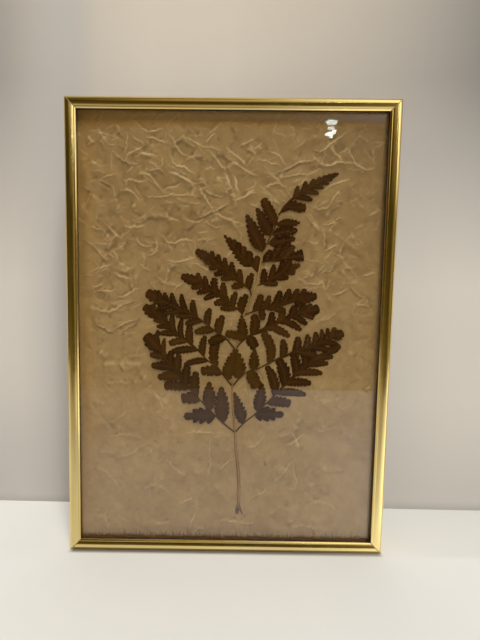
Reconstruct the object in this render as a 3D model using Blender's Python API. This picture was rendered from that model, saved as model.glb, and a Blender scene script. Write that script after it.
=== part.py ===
"""A pressed fern frond on creased paper, behind glass in a slim mitred metal section frame.

Lengths are in millimetres until a mesh is written, where MM turns them into metres.
X runs to the right, Z up and Y back, so the front of the frame faces -Y.  The origin is at the
middle of the underside.  "Back" values are depths counted from the ridge of the rails.
"""

import math

import bmesh
import bpy
from mathutils import Vector
from mathutils.geometry import delaunay_2d_cdt

MM = 0.001

# ---- Driving dimensions of the frame ------------------------------------------------------
WIDTH = 214.0           # over the rails, across
HEIGHT = 301.0          # over the rails, upright
DEPTH = 22.0            # ridge of the rails to their rear lips
WALL = 1.2              # metal of the rail's side wall
FLANGE = 1.0            # metal of the rail's inner flanges and lips
SEAM = 0.22             # each rail stops this far short of the mitre

# Rail section, counted inward from the outer wall
CROWN_WIDTH = 6.1       # rounded band of the face
RIDGE_AT = 2.8          # where the crown is highest
OUTER_DROP = 1.7        # fall from the ridge to the outer wall
INNER_DROP = 1.1        # fall from the ridge to the groove beside the bead
BEAD_WIDTH = 1.4        # fine bead along the sight edge
BEAD_RISE = 0.5
FACE_WIDTH = CROWN_WIDTH + BEAD_WIDTH
CHANNEL_WIDTH = 8.6     # rear channel that takes the corner plates
SLOT = (3.0, 5.8)       # open slot along the back of that channel
CROWN_STEPS = 4         # on each side of the ridge
BEAD_STEPS = 4

# Depths of the rail's inner features
LIP_BACK = 4.2          # back of the lip that the glass lies against
CHANNEL_FRONT = 14.8    # front of the rear channel

# ---- The pack, from the front ---------------------------------------------------------------
SHEET_GAP = 0.3         # clearance between neighbouring layers
GLASS = (4.5, 6.5)
LEAF_THICKNESS = 0.25
LEAF_FRONT = 6.8        # front of the foremost leaf layer
PAPER = (8.45, 8.75)
BOARD = (9.05, 11.75)
PACK_SIZE = (210.0, 297.0)
PAPER_SIZE = (209.0, 296.0)

# ---- Hardware behind the rails --------------------------------------------------------------
PLATE_LEG = 30.0        # corner plate, along each rail
PLATE_BAND = (1.5, 7.3)
PLATE_DEPTHS = (17.0, 19.2)
SCREW_AT = 21.0         # from the frame's corner along each rail
SCREW_RADIUS = 1.15
SCREW_HOLE_RADIUS = 1.5
SCREW_DEPTHS = (16.1, 21.7)
SCREW_SLOT = (0.5, 0.9)  # width and depth of the driver slot
ROUND_STEPS = 12
CUT_REACH = 1.0         # how far a cutter passes the face that it cuts

CLIP_LENGTH = 36.0      # bow spring clip, along the rail
CLIP_BAND = (1.7, 12.0)
CLIP_DEPTHS = (12.05, 14.5)
CLIP_THICKNESS = 0.4
CLIP_STEPS = 6
SIDE_CLIP_HEIGHTS = (90.0, 211.0)

# ---- The frond --------------------------------------------------------------------------------
# Stem from the cut end to the tip's base: (x, z, width)
STEM = [
    (8.7, 29.0, 2.0), (8.9, 35.0, 1.8), (8.9, 42.0, 1.8), (8.6, 49.0, 2.1), (8.1, 56.0, 1.9),
    (7.3, 62.5, 1.7), (6.5, 68.5, 1.6), (6.0, 74.0, 1.5), (5.6, 80.0, 1.35), (5.1, 86.0, 1.2),
    (4.4, 93.0, 1.3), (3.6, 102.0, 1.2), (3.1, 112.0, 1.1), (3.3, 123.0, 1.0), (4.2, 134.0, 1.0),
    (5.2, 142.0, 1.0), (7.0, 150.5, 1.0), (9.2, 160.0, 1.0), (12.7, 168.0, 0.9),
    (15.2, 176.0, 0.9), (18.0, 185.0, 0.9), (19.7, 194.0, 0.9), (21.0, 201.5, 0.9),
    (24.0, 210.0, 0.8), (27.6, 217.5, 0.8), (30.0, 224.0, 0.8), (31.0, 228.0, 0.8),
]
STEM_SIDES = 8
STEM_LAYER = 2
STIPE_HALF_DEPTH = 0.6          # below the first fork the stem is round
FLATTENS = (70.0, 80.0)         # heights between which it thins to one leaf layer
FRAYED_STRANDS = [              # splayed fibres of the cut end: (x, z, width) top to bottom
    [(8.3, 31.0, 1.5), (7.9, 28.0, 2.5), (8.0, 24.4, 2.2)],
    [(9.2, 31.0, 1.2), (10.2, 27.5, 1.3), (11.6, 24.1, 1.1)],
]

# Side branches.  Each has its layer in the pack (1 is foremost), its midrib from the stem
# outwards as (x, z), and its leaflets as (x where it leaves the midrib, tip x, tip z, width),
# with a fifth value where the leaflet's own curve differs from LEAN.
LEAN = 0.22             # share of the midrib's heading in a leaflet's first direction
BRANCHES = {
    "branch_left_1": (
        1, [(5, 82.8), (-3, 89.3), (-14, 99.8), (-27, 114), (-38, 127.5), (-46, 138.5),
            (-52, 147)],
        [(-8.5, -29.8, 93.2, 10, -0.15), (-19.5, -31.8, 105, 7.5), (-26.5, -43.2, 113.6, 6.8),
         (-32.5, -47.5, 119.6, 5.8), (-37.5, -52.2, 127.3, 5.2), (-42.5, -53.3, 135.2, 3.4),
         (-46, -54.3, 140.6, 3), (-3.5, -4.3, 114.2, 9.5), (-12.5, -12.5, 117.3, 7.5),
         (-22.5, -21.2, 124.2, 6.6), (-28.5, -27.5, 128.5, 6.5), (-34, -33, 135.5, 6),
         (-38.5, -38.3, 138, 5.5), (-43, -43, 147.2, 4), (-47.5, -47.3, 152.3, 3.4),
         (-48, -55.8, 149.2, 9)]),
    "branch_right_1": (
        3, [(5.8, 82.6), (11.5, 89), (18.5, 95), (27.5, 104), (38.5, 115.5), (48.5, 126),
            (58, 134), (68, 139.5)],
        [(19, 38.8, 95.3, 9.4, 0), (27.5, 43.3, 102.8, 7.5), (33.5, 53.4, 107.8, 7),
         (40, 56.5, 117.2, 6), (46.5, 64, 123.6, 5.2), (52.5, 67.7, 130.6, 5),
         (58, 71, 134.9, 4.2), (64, 74, 140, 3.4), (10.3, 3.2, 110.6, 9.4, 0),
         (21.6, 23.3, 116.8, 8.4, 0), (32, 25.8, 128.3, 7), (38.5, 33, 133.5, 8.2),
         (46, 42.5, 138, 7), (52, 49, 141, 6), (57, 56, 141, 4.5), (66, 75.3, 143.2, 4.5)]),
    "branch_left_2": (
        3, [(2.6, 115), (-2, 120.5), (-7, 127.2), (-14, 132), (-20.5, 138.8), (-29.5, 146.2),
            (-39, 153.5), (-48, 161.5), (-55, 167.5)],
        [(-4.5, -18.6, 124.2, 6.8), (-14, -29.6, 128.6, 5.8), (-21, -40.3, 136.5, 6.2),
         (-28.5, -40, 143.2, 5.6), (-34, -47.3, 150.2, 5.3), (-39.5, -48.6, 154.8, 3.6),
         (-43.5, -50.8, 158.8, 2.8), (-47, -54.3, 161.8, 2.8), (-2.2, 4, 139.8, 9, 0),
         (-8.5, -7.8, 146, 6.2), (-17, -15.5, 148.5, 6), (-25, -25.5, 157, 6),
         (-31.5, -30.8, 160.3, 4.6), (-37, -37.5, 162, 5.5), (-42, -43, 166.5, 4.5),
         (-46.5, -46.3, 169.2, 3.4), (-50, -49.8, 169.8, 3), (-49.5, -57.2, 168.5, 6.5)]),
    "branch_right_2": (
        1, [(3.6, 115), (8.5, 121), (14, 125), (20, 126.8), (27.5, 130.8), (36, 134.8),
            (46, 139), (56, 142.8), (66, 147), (73, 150)],
        [(14.5, 20.3, 113.8, 8), (55, 66, 140, 5), (62, 73.5, 144, 4), (9.2, 5.6, 140, 9, 0),
         (17.5, 17.4, 140.3, 6.4), (28, 21.5, 152, 5.6), (36, 35.8, 146.7, 5.4),
         (44.5, 45.8, 149.2, 5.2), (51.5, 52.5, 150.6, 4.2), (57, 57.8, 152.2, 3.8),
         (61, 61.8, 154, 2.8), (64.5, 65.7, 154.8, 3.2), (68, 70.3, 155.4, 4),
         (70, 76.8, 151.5, 6)]),
    "branch_left_3": (
        1, [(4.2, 140.3), (-2, 147.3), (-8, 151.3), (-15.5, 157), (-22, 161.2), (-31, 165.5),
            (-40, 169.8), (-49, 174.3)],
        [(-2.5, -13.5, 143.6, 7), (-10, -23, 150.8, 6.5), (-18, -29.3, 156.3, 5.5),
         (-23, -35.5, 161.3, 4.6), (-30, -44, 162.8, 4.5), (-37, -48, 166, 4),
         (-43, -50, 170.6, 3), (-6.3, -3.6, 162.6, 6.2), (-13.8, -12.4, 167.2, 5.6),
         (-21.8, -24, 172.8, 5.2), (-28, -31.8, 176.7, 4.8), (-35, -38.3, 177.3, 4.2),
         (-40.5, -43, 177.3, 3.6), (-45, -47, 179, 3.2), (-46, -55.8, 176.8, 7)]),
    "branch_right_3": (
        3, [(5.4, 140.5), (8.5, 144.5), (15, 149.5), (22, 152.6), (30, 157), (40, 161.3),
            (50, 165)],
        [(13.5, 18, 140.8, 6.4), (27, 41.2, 148.8, 5.6), (36, 48.7, 153.2, 5.2),
         (43.5, 52.3, 157, 4.4), (49, 56.6, 161, 3.6), (9.5, 8.2, 162.8, 6, 0),
         (12.3, -2.2, 151, 6.4, 0), (16, 16, 163.6, 6.8), (27, 28.6, 165.4, 5),
         (34, 35.5, 167.5, 5), (40.5, 43.5, 170, 5), (46, 50.6, 171, 4),
         (50.5, 54.5, 170.5, 3.2), (50, 60.5, 169, 7.5)]),
    "branch_left_4": (
        3, [(9.2, 163.4), (4.5, 167.8), (-1.5, 172.3), (-8.5, 177.3), (-16, 182),
            (-23, 185.8)],
        [(5, -6, 166.9, 4.2), (-1, -10.1, 169.9, 5), (-7.5, -17, 172.8, 4),
         (-12, -21.7, 176.8, 3.8), (-16.5, -25.6, 180.4, 3.8), (-20.5, -28.8, 184, 3),
         (8, 11.8, 176.7, 6.4), (3, 4.8, 178.2, 4.8), (-2, -4, 184.8, 4.4),
         (-9, -9.8, 187.6, 4.6), (-14.5, -16.4, 188.8, 3.8), (-19, -21, 190.8, 3.4),
         (-21, -32.3, 188.8, 6.2)]),
    "branch_right_4": (
        1, [(10.8, 163.4), (17, 165.7), (25, 168), (34, 170.3), (44, 173.3), (52, 175.6)],
        [(21, 22.2, 159.8, 4.8), (27, 38, 166.2, 4, 0), (44, 47.5, 168.3, 4),
         (47, 51.3, 171.3, 3.5), (50, 54.5, 173.4, 3), (17, 20.8, 177, 6),
         (22.5, 26.4, 176.6, 4.6), (29.5, 33.3, 179.8, 5.2), (35.5, 39.6, 181, 4.4),
         (41.5, 44.8, 181, 4.2), (46.5, 50, 180.8, 4), (47.5, 58.3, 176.8, 6.5)]),
    "branch_left_5": (
        1, [(14.6, 176.2), (13.2, 180), (8.5, 183.8), (3, 188), (-3, 192.2), (-10, 197.3),
            (-16, 201.5)],
        [(9.5, 1.4, 181.2, 3.8), (3, -5.9, 186.4, 3.6), (-2, -10.3, 189.4, 3.6),
         (-7, -13.8, 193.4, 3.4), (-11, -17, 197.3, 3), (13, 15.3, 190.8, 5.2),
         (8, 6.8, 193.7, 4), (3.5, 1.3, 198.2, 4.2), (-1.5, -3.3, 200.9, 3.6),
         (-6, -7.6, 203.1, 3.4), (-10, -12, 205, 3.4), (-12, -22.6, 205.6, 5.6)]),
    "branch_right_5": (
        3, [(18.8, 182.8), (25, 185.6), (31, 189.3), (38, 193.6), (43, 195.5)],
        [(22.5, 32.2, 183.8, 3.8), (28.5, 39.2, 188, 4), (35, 43.6, 191.8, 3.8),
         (21.3, 22.3, 193.9, 4.8), (26.5, 29.1, 197, 4.2), (32, 35.5, 200.8, 4.6),
         (37, 46.6, 196.7, 4.2)]),
    "branch_left_6": (
        3, [(18.4, 191.6), (14.5, 195.8), (8.5, 200.5), (3.5, 206), (-1, 211.5)],
        [(17.5, 18.8, 202.2, 5), (13, 13.8, 205.2, 5), (9, 9.9, 208.5, 4.6),
         (5.5, 6.4, 211, 4), (2.5, 3.3, 212.7, 3.6), (14, -4.4, 215.8, 9.5)]),
    "branch_right_6": (
        1, [(20.8, 198.2), (30, 199.6), (40, 201.5), (45, 202)],
        [(23, 24, 206, 4.5), (27.5, 30.6, 209, 5.6), (32.5, 36.6, 209.3, 5.6),
         (37, 40, 208, 4.2), (40, 41.7, 205.6, 4), (42.5, 45.1, 207, 4.5),
         (38, 48.6, 201.3, 5)]),
    "branch_left_7": (
        1, [(21.6, 205), (18.5, 209.5), (15.3, 215), (12.6, 221)],
        [(20.6, 10, 229.2, 9.2)]),
    "branch_right_7": (3, [(24.5, 210.3), (32, 211), (39, 210.8)], [(27, 42.8, 211, 7.5)]),
    "branch_left_8": (3, [(26.8, 215.3), (23.6, 221), (20.6, 227)],
                      [(26.4, 16.4, 233.8, 7.2)]),
    "branch_right_8": (1, [(27.5, 216.5), (34, 217.5), (40, 218)], [(29, 44, 218.5, 6.5)]),
    "branch_left_9": (1, [(29.8, 222.5), (27.6, 228), (24.4, 233)], [(29.6, 19.8, 239.6, 6.4)]),
    "branch_right_9": (3, [(30.2, 222.8), (36, 223.8), (41, 224)], [(31, 45.6, 224, 5.2)]),
    "branch_tip": (
        2, [(31.2, 228.8), (34, 233), (39, 238.5), (46, 243.5), (54, 248.5), (62, 253)],
        [(41.5, 43.2, 247.8, 4), (46.5, 48.2, 250.8, 3.8), (51, 53.7, 252.4, 3.4),
         (55, 57.7, 253.8, 3), (58.5, 61.2, 254.5, 2.6), (62, 64.2, 255.5, 2.4),
         (34, 49.3, 233.8, 5.2, 0), (32.2, 42, 238, 4.2, 0), (42, 53.2, 238.3, 3.8),
         (47, 57.3, 243, 3.4), (52, 60.3, 246.3, 3), (56, 63.7, 248.9, 2.6),
         (60, 65.8, 251.2, 2.4), (59, 69.7, 255.9, 3)]),
}
RIB_WIDTHS = (1.0, 0.6)         # midrib, at the stem and at its end
CURVE_STEPS = 3                 # points added between two points of a curve
# Half-width of a leaflet, as a share of its largest, at shares of its length
LEAFLET_PROFILE = [(0.0, 0.34), (0.22, 0.9), (0.5, 1.0), (0.8, 0.76), (0.96, 0.36)]
MERGE = 0.001                   # outline points closer than this become one
LEVEL_WITHIN = math.radians(0.5)


# ---- Scene and materials ----------------------------------------------------------------------
def clear_scene():
    for item in list(bpy.data.objects):
        bpy.data.objects.remove(item, do_unlink=True)


def make_material(name, colour, roughness, metallic=0.0, transmission=0.0):
    material = bpy.data.materials.new(name)
    material.use_nodes = True
    shader = material.node_tree.nodes["Principled BSDF"]
    shader.inputs["Base Color"].default_value = (*colour, 1.0)
    shader.inputs["Roughness"].default_value = roughness
    shader.inputs["Metallic"].default_value = metallic
    shader.inputs["Transmission Weight"].default_value = transmission
    material.diffuse_color = (*colour, 1.0)
    return material


# ---- Solids -----------------------------------------------------------------------------------
def at(x, back, z):
    """A point in space from its place across, its depth behind the ridge and its height."""
    return Vector((x * MM, (back - DEPTH / 2) * MM, z * MM))


def add_solid(name, points, faces, material):
    """One closed object whose faces are turned outwards, with level faces joined."""
    mesh = bpy.data.meshes.new(name)
    mesh.from_pydata(points, [], faces)
    shape = bmesh.new()
    shape.from_mesh(mesh)
    bmesh.ops.recalc_face_normals(shape, faces=shape.faces)
    bmesh.ops.dissolve_limit(shape, angle_limit=LEVEL_WITHIN, verts=shape.verts,
                             edges=shape.edges)
    shape.to_mesh(mesh)
    shape.free()
    mesh.materials.append(material)
    item = bpy.data.objects.new(name, mesh)
    bpy.context.collection.objects.link(item)
    return item


def add_prism(name, near, far, material):
    """A solid between two matching outlines, lists of points in space."""
    count = len(near)
    faces = [tuple(range(count)), tuple(range(count, 2 * count))]
    for index in range(count):
        following = (index + 1) % count
        faces.append((index, following, count + following, count + index))
    return add_solid(name, near + far, faces, material)


def add_sheet(name, size, depths, material):
    """A flat rectangular sheet centred in the frame."""
    half_width = size[0] / 2
    low = (HEIGHT - size[1]) / 2
    corners = [(-half_width, low), (half_width, low),
               (half_width, HEIGHT - low), (-half_width, HEIGHT - low)]
    near, far = [[at(x, back, z) for x, z in corners] for back in depths]
    return add_prism(name, near, far, material)


def add_cut(item, cutter):
    """Take one hidden shape out of an object."""
    cutter.hide_render = True
    cutter.display_type = "WIRE"
    cut = item.modifiers.new("cut_" + cutter.name, "BOOLEAN")
    cut.operation = "DIFFERENCE"
    cut.object = cutter


def add_union(item, guide):
    """Join one hidden shape to an object."""
    guide.hide_render = True
    guide.display_type = "WIRE"
    join = item.modifiers.new("join_" + guide.name, "BOOLEAN")
    join.operation = "UNION"
    join.object = guide


def circle(x, z, radius):
    turns = [2 * math.pi * step / ROUND_STEPS for step in range(ROUND_STEPS)]
    return [(x + radius * math.cos(turn), z + radius * math.sin(turn)) for turn in turns]


# ---- Rails ------------------------------------------------------------------------------------
def crown_back(inward):
    """Depth of the rounded band of the rail's face below its ridge."""
    if inward < RIDGE_AT:
        return OUTER_DROP * ((RIDGE_AT - inward) / RIDGE_AT) ** 2
    return INNER_DROP * ((inward - RIDGE_AT) / (CROWN_WIDTH - RIDGE_AT)) ** 2


def rail_section():
    """The rail's outline as (inward, back), round the face, the rabbet and the rear channel."""
    inner_width = CROWN_WIDTH - RIDGE_AT
    stops = [RIDGE_AT * step / CROWN_STEPS for step in range(CROWN_STEPS)]
    stops += [RIDGE_AT + inner_width * step / CROWN_STEPS for step in range(CROWN_STEPS + 1)]
    outline = [(inward, crown_back(inward)) for inward in stops]
    for step in range(1, BEAD_STEPS + 1):
        turn = math.pi * step / BEAD_STEPS
        inward = CROWN_WIDTH + BEAD_WIDTH * (1 - math.cos(turn)) / 2
        outline.append((inward, INNER_DROP - BEAD_RISE * math.sin(turn)))
    outline += [
        (FACE_WIDTH, LIP_BACK), (WALL, LIP_BACK),
        (WALL, CHANNEL_FRONT), (CHANNEL_WIDTH, CHANNEL_FRONT), (CHANNEL_WIDTH, DEPTH),
        (SLOT[1], DEPTH), (SLOT[1], DEPTH - FLANGE),
        (CHANNEL_WIDTH - FLANGE, DEPTH - FLANGE),
        (CHANNEL_WIDTH - FLANGE, CHANNEL_FRONT + FLANGE), (WALL, CHANNEL_FRONT + FLANGE),
        (WALL, DEPTH - FLANGE), (SLOT[0], DEPTH - FLANGE), (SLOT[0], DEPTH), (0, DEPTH),
    ]
    return outline


def on_rail(rail, along, inward, back):
    """A point from its place along a rail (0 at the middle), inward from it and back."""
    if rail == "rail_bottom":
        return at(along, back, inward)
    if rail == "rail_top":
        return at(along, back, HEIGHT - inward)
    side = -1 if rail == "rail_left" else 1
    return at(side * (WIDTH / 2 - inward), back, HEIGHT / 2 + along)


def add_rail(rail, length, material):
    ends = []
    for side in (-1, 1):
        ends.append([on_rail(rail, side * (length / 2 - inward - SEAM), inward, back)
                     for inward, back in rail_section()])
    return add_prism(rail, *ends, material)


# ---- Hardware ---------------------------------------------------------------------------------
def corner_point(across, up, from_side, from_end):
    """A place near the corner that lies to (across, up) = (+-1, +-1) of the middle."""
    x = across * (WIDTH / 2 - from_side)
    z = HEIGHT / 2 + up * (HEIGHT / 2 - from_end)
    return x, z


def add_round(name, centre, radius, depths, material):
    near, far = [[at(x, back, z) for x, z in circle(*centre, radius)] for back in depths]
    return add_prism(name, near, far, material)


def add_corner_plate(name, across, up, screw_places, material):
    inner, outer = PLATE_BAND
    outline = [corner_point(across, up, *place) for place in (
        (inner, inner), (PLATE_LEG, inner), (PLATE_LEG, outer),
        (outer, outer), (outer, PLATE_LEG), (inner, PLATE_LEG))]
    near, far = [[at(x, back, z) for x, z in outline] for back in PLATE_DEPTHS]
    plate = add_prism(name, near, far, material)
    hole_depths = (PLATE_DEPTHS[0] - CUT_REACH, PLATE_DEPTHS[1] + CUT_REACH)
    for number, place in enumerate(screw_places, 1):
        hole = add_round(f"{name}_hole_{number}", place, SCREW_HOLE_RADIUS, hole_depths,
                         material)
        add_cut(plate, hole)


def add_corner_screw(name, place, material):
    screw = add_round(name, place, SCREW_RADIUS, SCREW_DEPTHS, material)
    slot_width, slot_depth = SCREW_SLOT
    slot_length = 2 * (SCREW_RADIUS + CUT_REACH)
    corners = [(place[0] + side * slot_length / 2, place[1] + up * slot_width / 2)
               for side, up in ((-1, -1), (1, -1), (1, 1), (-1, 1))]
    slot_depths = (SCREW_DEPTHS[1] - slot_depth, SCREW_DEPTHS[1] + CUT_REACH)
    near, far = [[at(x, back, z) for x, z in corners] for back in slot_depths]
    add_cut(screw, add_prism(name + "_slot", near, far, material))


def add_corner_hardware(plate_metal, screw_metal):
    screw_inward = sum(SLOT) / 2
    for up, height_word in ((1, "top"), (-1, "bottom")):
        for across, side_word in ((-1, "left"), (1, "right")):
            corner = f"{height_word}_{side_word}"
            places = [corner_point(across, up, SCREW_AT, screw_inward),
                      corner_point(across, up, screw_inward, SCREW_AT)]
            add_corner_plate(f"corner_plate_{corner}", across, up, places, plate_metal)
            for number, place in enumerate(places, 1):
                add_corner_screw(f"corner_screw_{corner}_{number}", place, screw_metal)


def add_spring_clip(name, rail, middle, material):
    """A bowed strip whose ends press on the board and whose middle bears on the channel."""
    ends, crest = CLIP_DEPTHS
    bow = crest - ends - CLIP_THICKNESS
    back_side = []
    front_side = []
    for step in range(CLIP_STEPS + 1):
        share = 2 * step / CLIP_STEPS - 1
        along = middle + CLIP_LENGTH / 2 * share
        front = ends + bow * (1 - share * share)
        front_side.append((along, front))
        back_side.append((along, front + CLIP_THICKNESS))
    outline = front_side + back_side[::-1]
    near, far = [[on_rail(rail, along, inward, back) for along, back in outline]
                 for inward in CLIP_BAND]
    return add_prism(name, near, far, material)


def add_spring_clips(material):
    add_spring_clip("spring_clip_top", "rail_top", 0, material)
    add_spring_clip("spring_clip_bottom", "rail_bottom", 0, material)
    for side in ("left", "right"):
        for height_word, height in zip(("lower", "upper"), SIDE_CLIP_HEIGHTS):
            add_spring_clip(f"spring_clip_{side}_{height_word}", "rail_" + side,
                            height - HEIGHT / 2, material)


# ---- The frond --------------------------------------------------------------------------------
def layer_depths(layer):
    front = LEAF_FRONT + (layer - 1) * (LEAF_THICKNESS + SHEET_GAP)
    return front, front + LEAF_THICKNESS


def smooth_curve(points, steps):
    """Points of a smooth curve that runs through the given ones."""
    knots = [Vector(point) for point in points]
    knots = [2 * knots[0] - knots[1]] + knots + [2 * knots[-1] - knots[-2]]
    curve = []
    for before, start, end, after in zip(knots, knots[1:], knots[2:], knots[3:]):
        for step in range(steps):
            t = step / steps
            curve.append(0.5 * (2 * start + (end - before) * t
                                + (2 * before - 5 * start + 4 * end - after) * t ** 2
                                + (3 * start - before - 3 * end + after) * t ** 3))
    curve.append(knots[-2])
    return curve


def on_midrib(midrib, x):
    """The midrib's point at x, or its nearest end, and its heading there."""
    for start, end in zip(midrib, midrib[1:]):
        if (start.x - x) * (end.x - x) <= 0 and start.x != end.x:
            share = (x - start.x) / (end.x - start.x)
            return start.lerp(end, share), (end - start).normalized()
    return midrib[-1], (midrib[-1] - midrib[-2]).normalized()


def leaflet_outline(midrib, leave_x, tip_x, tip_z, width, lean=LEAN):
    """A blunt-ended leaflet that curves from the midrib to its tip, anticlockwise."""
    base, heading = on_midrib(midrib, leave_x)
    tip = Vector((tip_x, tip_z))
    length = (tip - base).length
    first = ((tip - base).normalized() * (1 - lean) + heading * lean).normalized()
    bend = base + first * length / 2

    def edge(share, half_width, side):
        middle = (1 - share) ** 2 * base + 2 * share * (1 - share) * bend + share ** 2 * tip
        run = ((1 - share) * (bend - base) + share * (tip - bend)).normalized()
        return middle + Vector((-run.y, run.x)) * half_width * side

    right = [edge(share, width / 2 * part, -1) for share, part in LEAFLET_PROFILE]
    left = [edge(share, width / 2 * part, 1) for share, part in LEAFLET_PROFILE]
    return right + [tip] + left[::-1]


def ribbon_outline(curve, widths):
    """A tapering strip along a curve, anticlockwise."""
    right = []
    left = []
    for index, point in enumerate(curve):
        before = curve[max(index - 1, 0)]
        after = curve[min(index + 1, len(curve) - 1)]
        run = (after - before).normalized()
        share = index / (len(curve) - 1)
        half_width = (widths[0] * (1 - share) + widths[1] * share) / 2
        across = Vector((-run.y, run.x)) * half_width
        right.append(point - across)
        left.append(point + across)
    return right + left[::-1]


def add_fused_plate(name, outlines, depths, material):
    """One flat solid with the joined shape of overlapping outlines."""
    corners = []
    loops = []
    for outline in outlines:
        loops.append(list(range(len(corners), len(corners) + len(outline))))
        corners += outline
    places, _, cells, _, _, sources = delaunay_2d_cdt(corners, [], loops, 0, MERGE, True)
    kept = [cell for cell, source in zip(cells, sources) if source]

    walls = {}
    for cell in kept:
        for start, end in zip(cell, cell[1:] + cell[:1]):
            if (end, start) in walls:
                del walls[(end, start)]
            else:
                walls[(start, end)] = True
    used = sorted({index for cell in kept for index in cell})
    order = {index: number for number, index in enumerate(used)}
    count = len(used)
    points = [at(places[index].x, back, places[index].y) for back in depths for index in used]
    faces = [[order[index] for index in cell] for cell in kept]
    faces += [[count + order[index] for index in reversed(cell)] for cell in kept]
    for start, end in walls:
        a, b = order[start], order[end]
        faces.append((b, a, count + a, count + b))
    return add_solid(name, points, faces, material)


def add_branch(name, layer, midrib_points, leaflets, material):
    midrib = smooth_curve(midrib_points, CURVE_STEPS)
    outlines = [ribbon_outline(midrib, RIB_WIDTHS)]
    outlines += [leaflet_outline(midrib, *leaflet) for leaflet in leaflets]
    return add_fused_plate(name, outlines, layer_depths(layer), material)


def stem_half_depth(height):
    thick, thin = STIPE_HALF_DEPTH, LEAF_THICKNESS / 2
    share = (height - FLATTENS[0]) / (FLATTENS[1] - FLATTENS[0])
    share = min(max(share, 0), 1)
    return thick * (1 - share) + thin * share


def add_stalk(name, curve, material):
    """A stalk of flattened round section along (x, z, width) points."""
    middle_back = sum(layer_depths(STEM_LAYER)) / 2
    points = []
    for index, (x, z, width) in enumerate(curve):
        before = Vector(curve[max(index - 1, 0)][:2])
        after = Vector(curve[min(index + 1, len(curve) - 1)][:2])
        run = (after - before).normalized()
        for side in range(STEM_SIDES):
            turn = 2 * math.pi * side / STEM_SIDES
            out = width / 2 * math.cos(turn)
            back = middle_back + stem_half_depth(z) * math.sin(turn)
            points.append(at(x - run.y * out, back, z + run.x * out))
    rings = len(curve)
    faces = [list(range(STEM_SIDES)),
             list(range((rings - 1) * STEM_SIDES, rings * STEM_SIDES))]
    for ring in range(rings - 1):
        for side in range(STEM_SIDES):
            a = ring * STEM_SIDES + side
            b = ring * STEM_SIDES + (side + 1) % STEM_SIDES
            faces.append((a, b, b + STEM_SIDES, a + STEM_SIDES))
    return add_solid(name, points, faces, material)


def add_frond(leaf, bark):
    stem = add_stalk("stem", STEM, bark)
    for number, strand in enumerate(FRAYED_STRANDS, 1):
        add_union(stem, add_stalk(f"stem_strand_{number}", strand, bark))
    for name, (layer, midrib, leaflets) in BRANCHES.items():
        add_branch(name, layer, midrib, leaflets, leaf)


# ---- The whole object -------------------------------------------------------------------------
def build():
    clear_scene()
    gold = make_material("polished_gold", (0.75, 0.56, 0.22), 0.2, metallic=1.0)
    steel = make_material("zinc_steel", (0.55, 0.56, 0.58), 0.4, metallic=1.0)
    spring = make_material("spring_steel", (0.3, 0.32, 0.36), 0.35, metallic=1.0)
    dark_steel = make_material("dark_steel", (0.1, 0.1, 0.11), 0.4, metallic=1.0)
    glass = make_material("clear_glass", (0.95, 1.0, 0.97), 0.02, transmission=1.0)
    paper = make_material("brown_paper", (0.33, 0.2, 0.09), 0.7)
    board = make_material("hardboard", (0.2, 0.12, 0.06), 0.8)
    leaf = make_material("dry_leaf", (0.05, 0.025, 0.01), 0.6)
    bark = make_material("dry_stem", (0.13, 0.07, 0.03), 0.6)

    for rail, length in (("rail_bottom", WIDTH), ("rail_top", WIDTH),
                         ("rail_left", HEIGHT), ("rail_right", HEIGHT)):
        add_rail(rail, length, gold)
    add_sheet("glass_pane", PACK_SIZE, GLASS, glass)
    add_sheet("creased_paper", PAPER_SIZE, PAPER, paper)
    add_sheet("backing_board", PACK_SIZE, BOARD, board)
    add_corner_hardware(steel, dark_steel)
    add_spring_clips(spring)
    add_frond(leaf, bark)


build()
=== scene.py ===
"""The look of a pressed fern frond on creased paper, behind glass in a slim gold metal frame.

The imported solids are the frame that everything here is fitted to.  Lengths are in millimetres
until a mesh is written, where MM turns them into metres.  X runs to the right, Z up and Y back;
"back" values are depths counted from the ridge of the rails, which lies at the lowest Y.
"""

import math

import bmesh
import bpy
import numpy as np
from mathutils import Matrix, Vector
from mathutils.geometry import delaunay_2d_cdt


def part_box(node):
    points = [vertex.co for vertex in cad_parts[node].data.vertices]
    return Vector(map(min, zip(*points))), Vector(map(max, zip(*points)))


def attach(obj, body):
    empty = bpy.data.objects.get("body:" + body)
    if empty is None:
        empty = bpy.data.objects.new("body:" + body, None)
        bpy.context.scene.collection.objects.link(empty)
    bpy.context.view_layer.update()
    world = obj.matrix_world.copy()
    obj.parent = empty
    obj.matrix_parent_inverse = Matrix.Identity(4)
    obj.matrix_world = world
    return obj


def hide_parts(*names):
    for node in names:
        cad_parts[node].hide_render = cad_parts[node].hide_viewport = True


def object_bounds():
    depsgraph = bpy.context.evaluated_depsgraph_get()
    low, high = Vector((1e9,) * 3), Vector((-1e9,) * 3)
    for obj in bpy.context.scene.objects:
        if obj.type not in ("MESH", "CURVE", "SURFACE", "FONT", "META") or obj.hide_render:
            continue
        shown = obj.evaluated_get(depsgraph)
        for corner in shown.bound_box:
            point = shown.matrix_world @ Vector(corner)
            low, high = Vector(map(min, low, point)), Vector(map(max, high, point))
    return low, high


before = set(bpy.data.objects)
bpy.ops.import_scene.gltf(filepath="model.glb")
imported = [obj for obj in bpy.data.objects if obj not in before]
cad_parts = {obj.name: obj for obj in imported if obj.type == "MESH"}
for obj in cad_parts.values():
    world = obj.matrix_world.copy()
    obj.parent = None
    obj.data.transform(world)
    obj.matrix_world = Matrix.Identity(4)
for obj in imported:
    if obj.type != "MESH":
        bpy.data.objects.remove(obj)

cad_low, cad_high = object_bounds()
MM = 0.001
BODY = "root"

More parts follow.
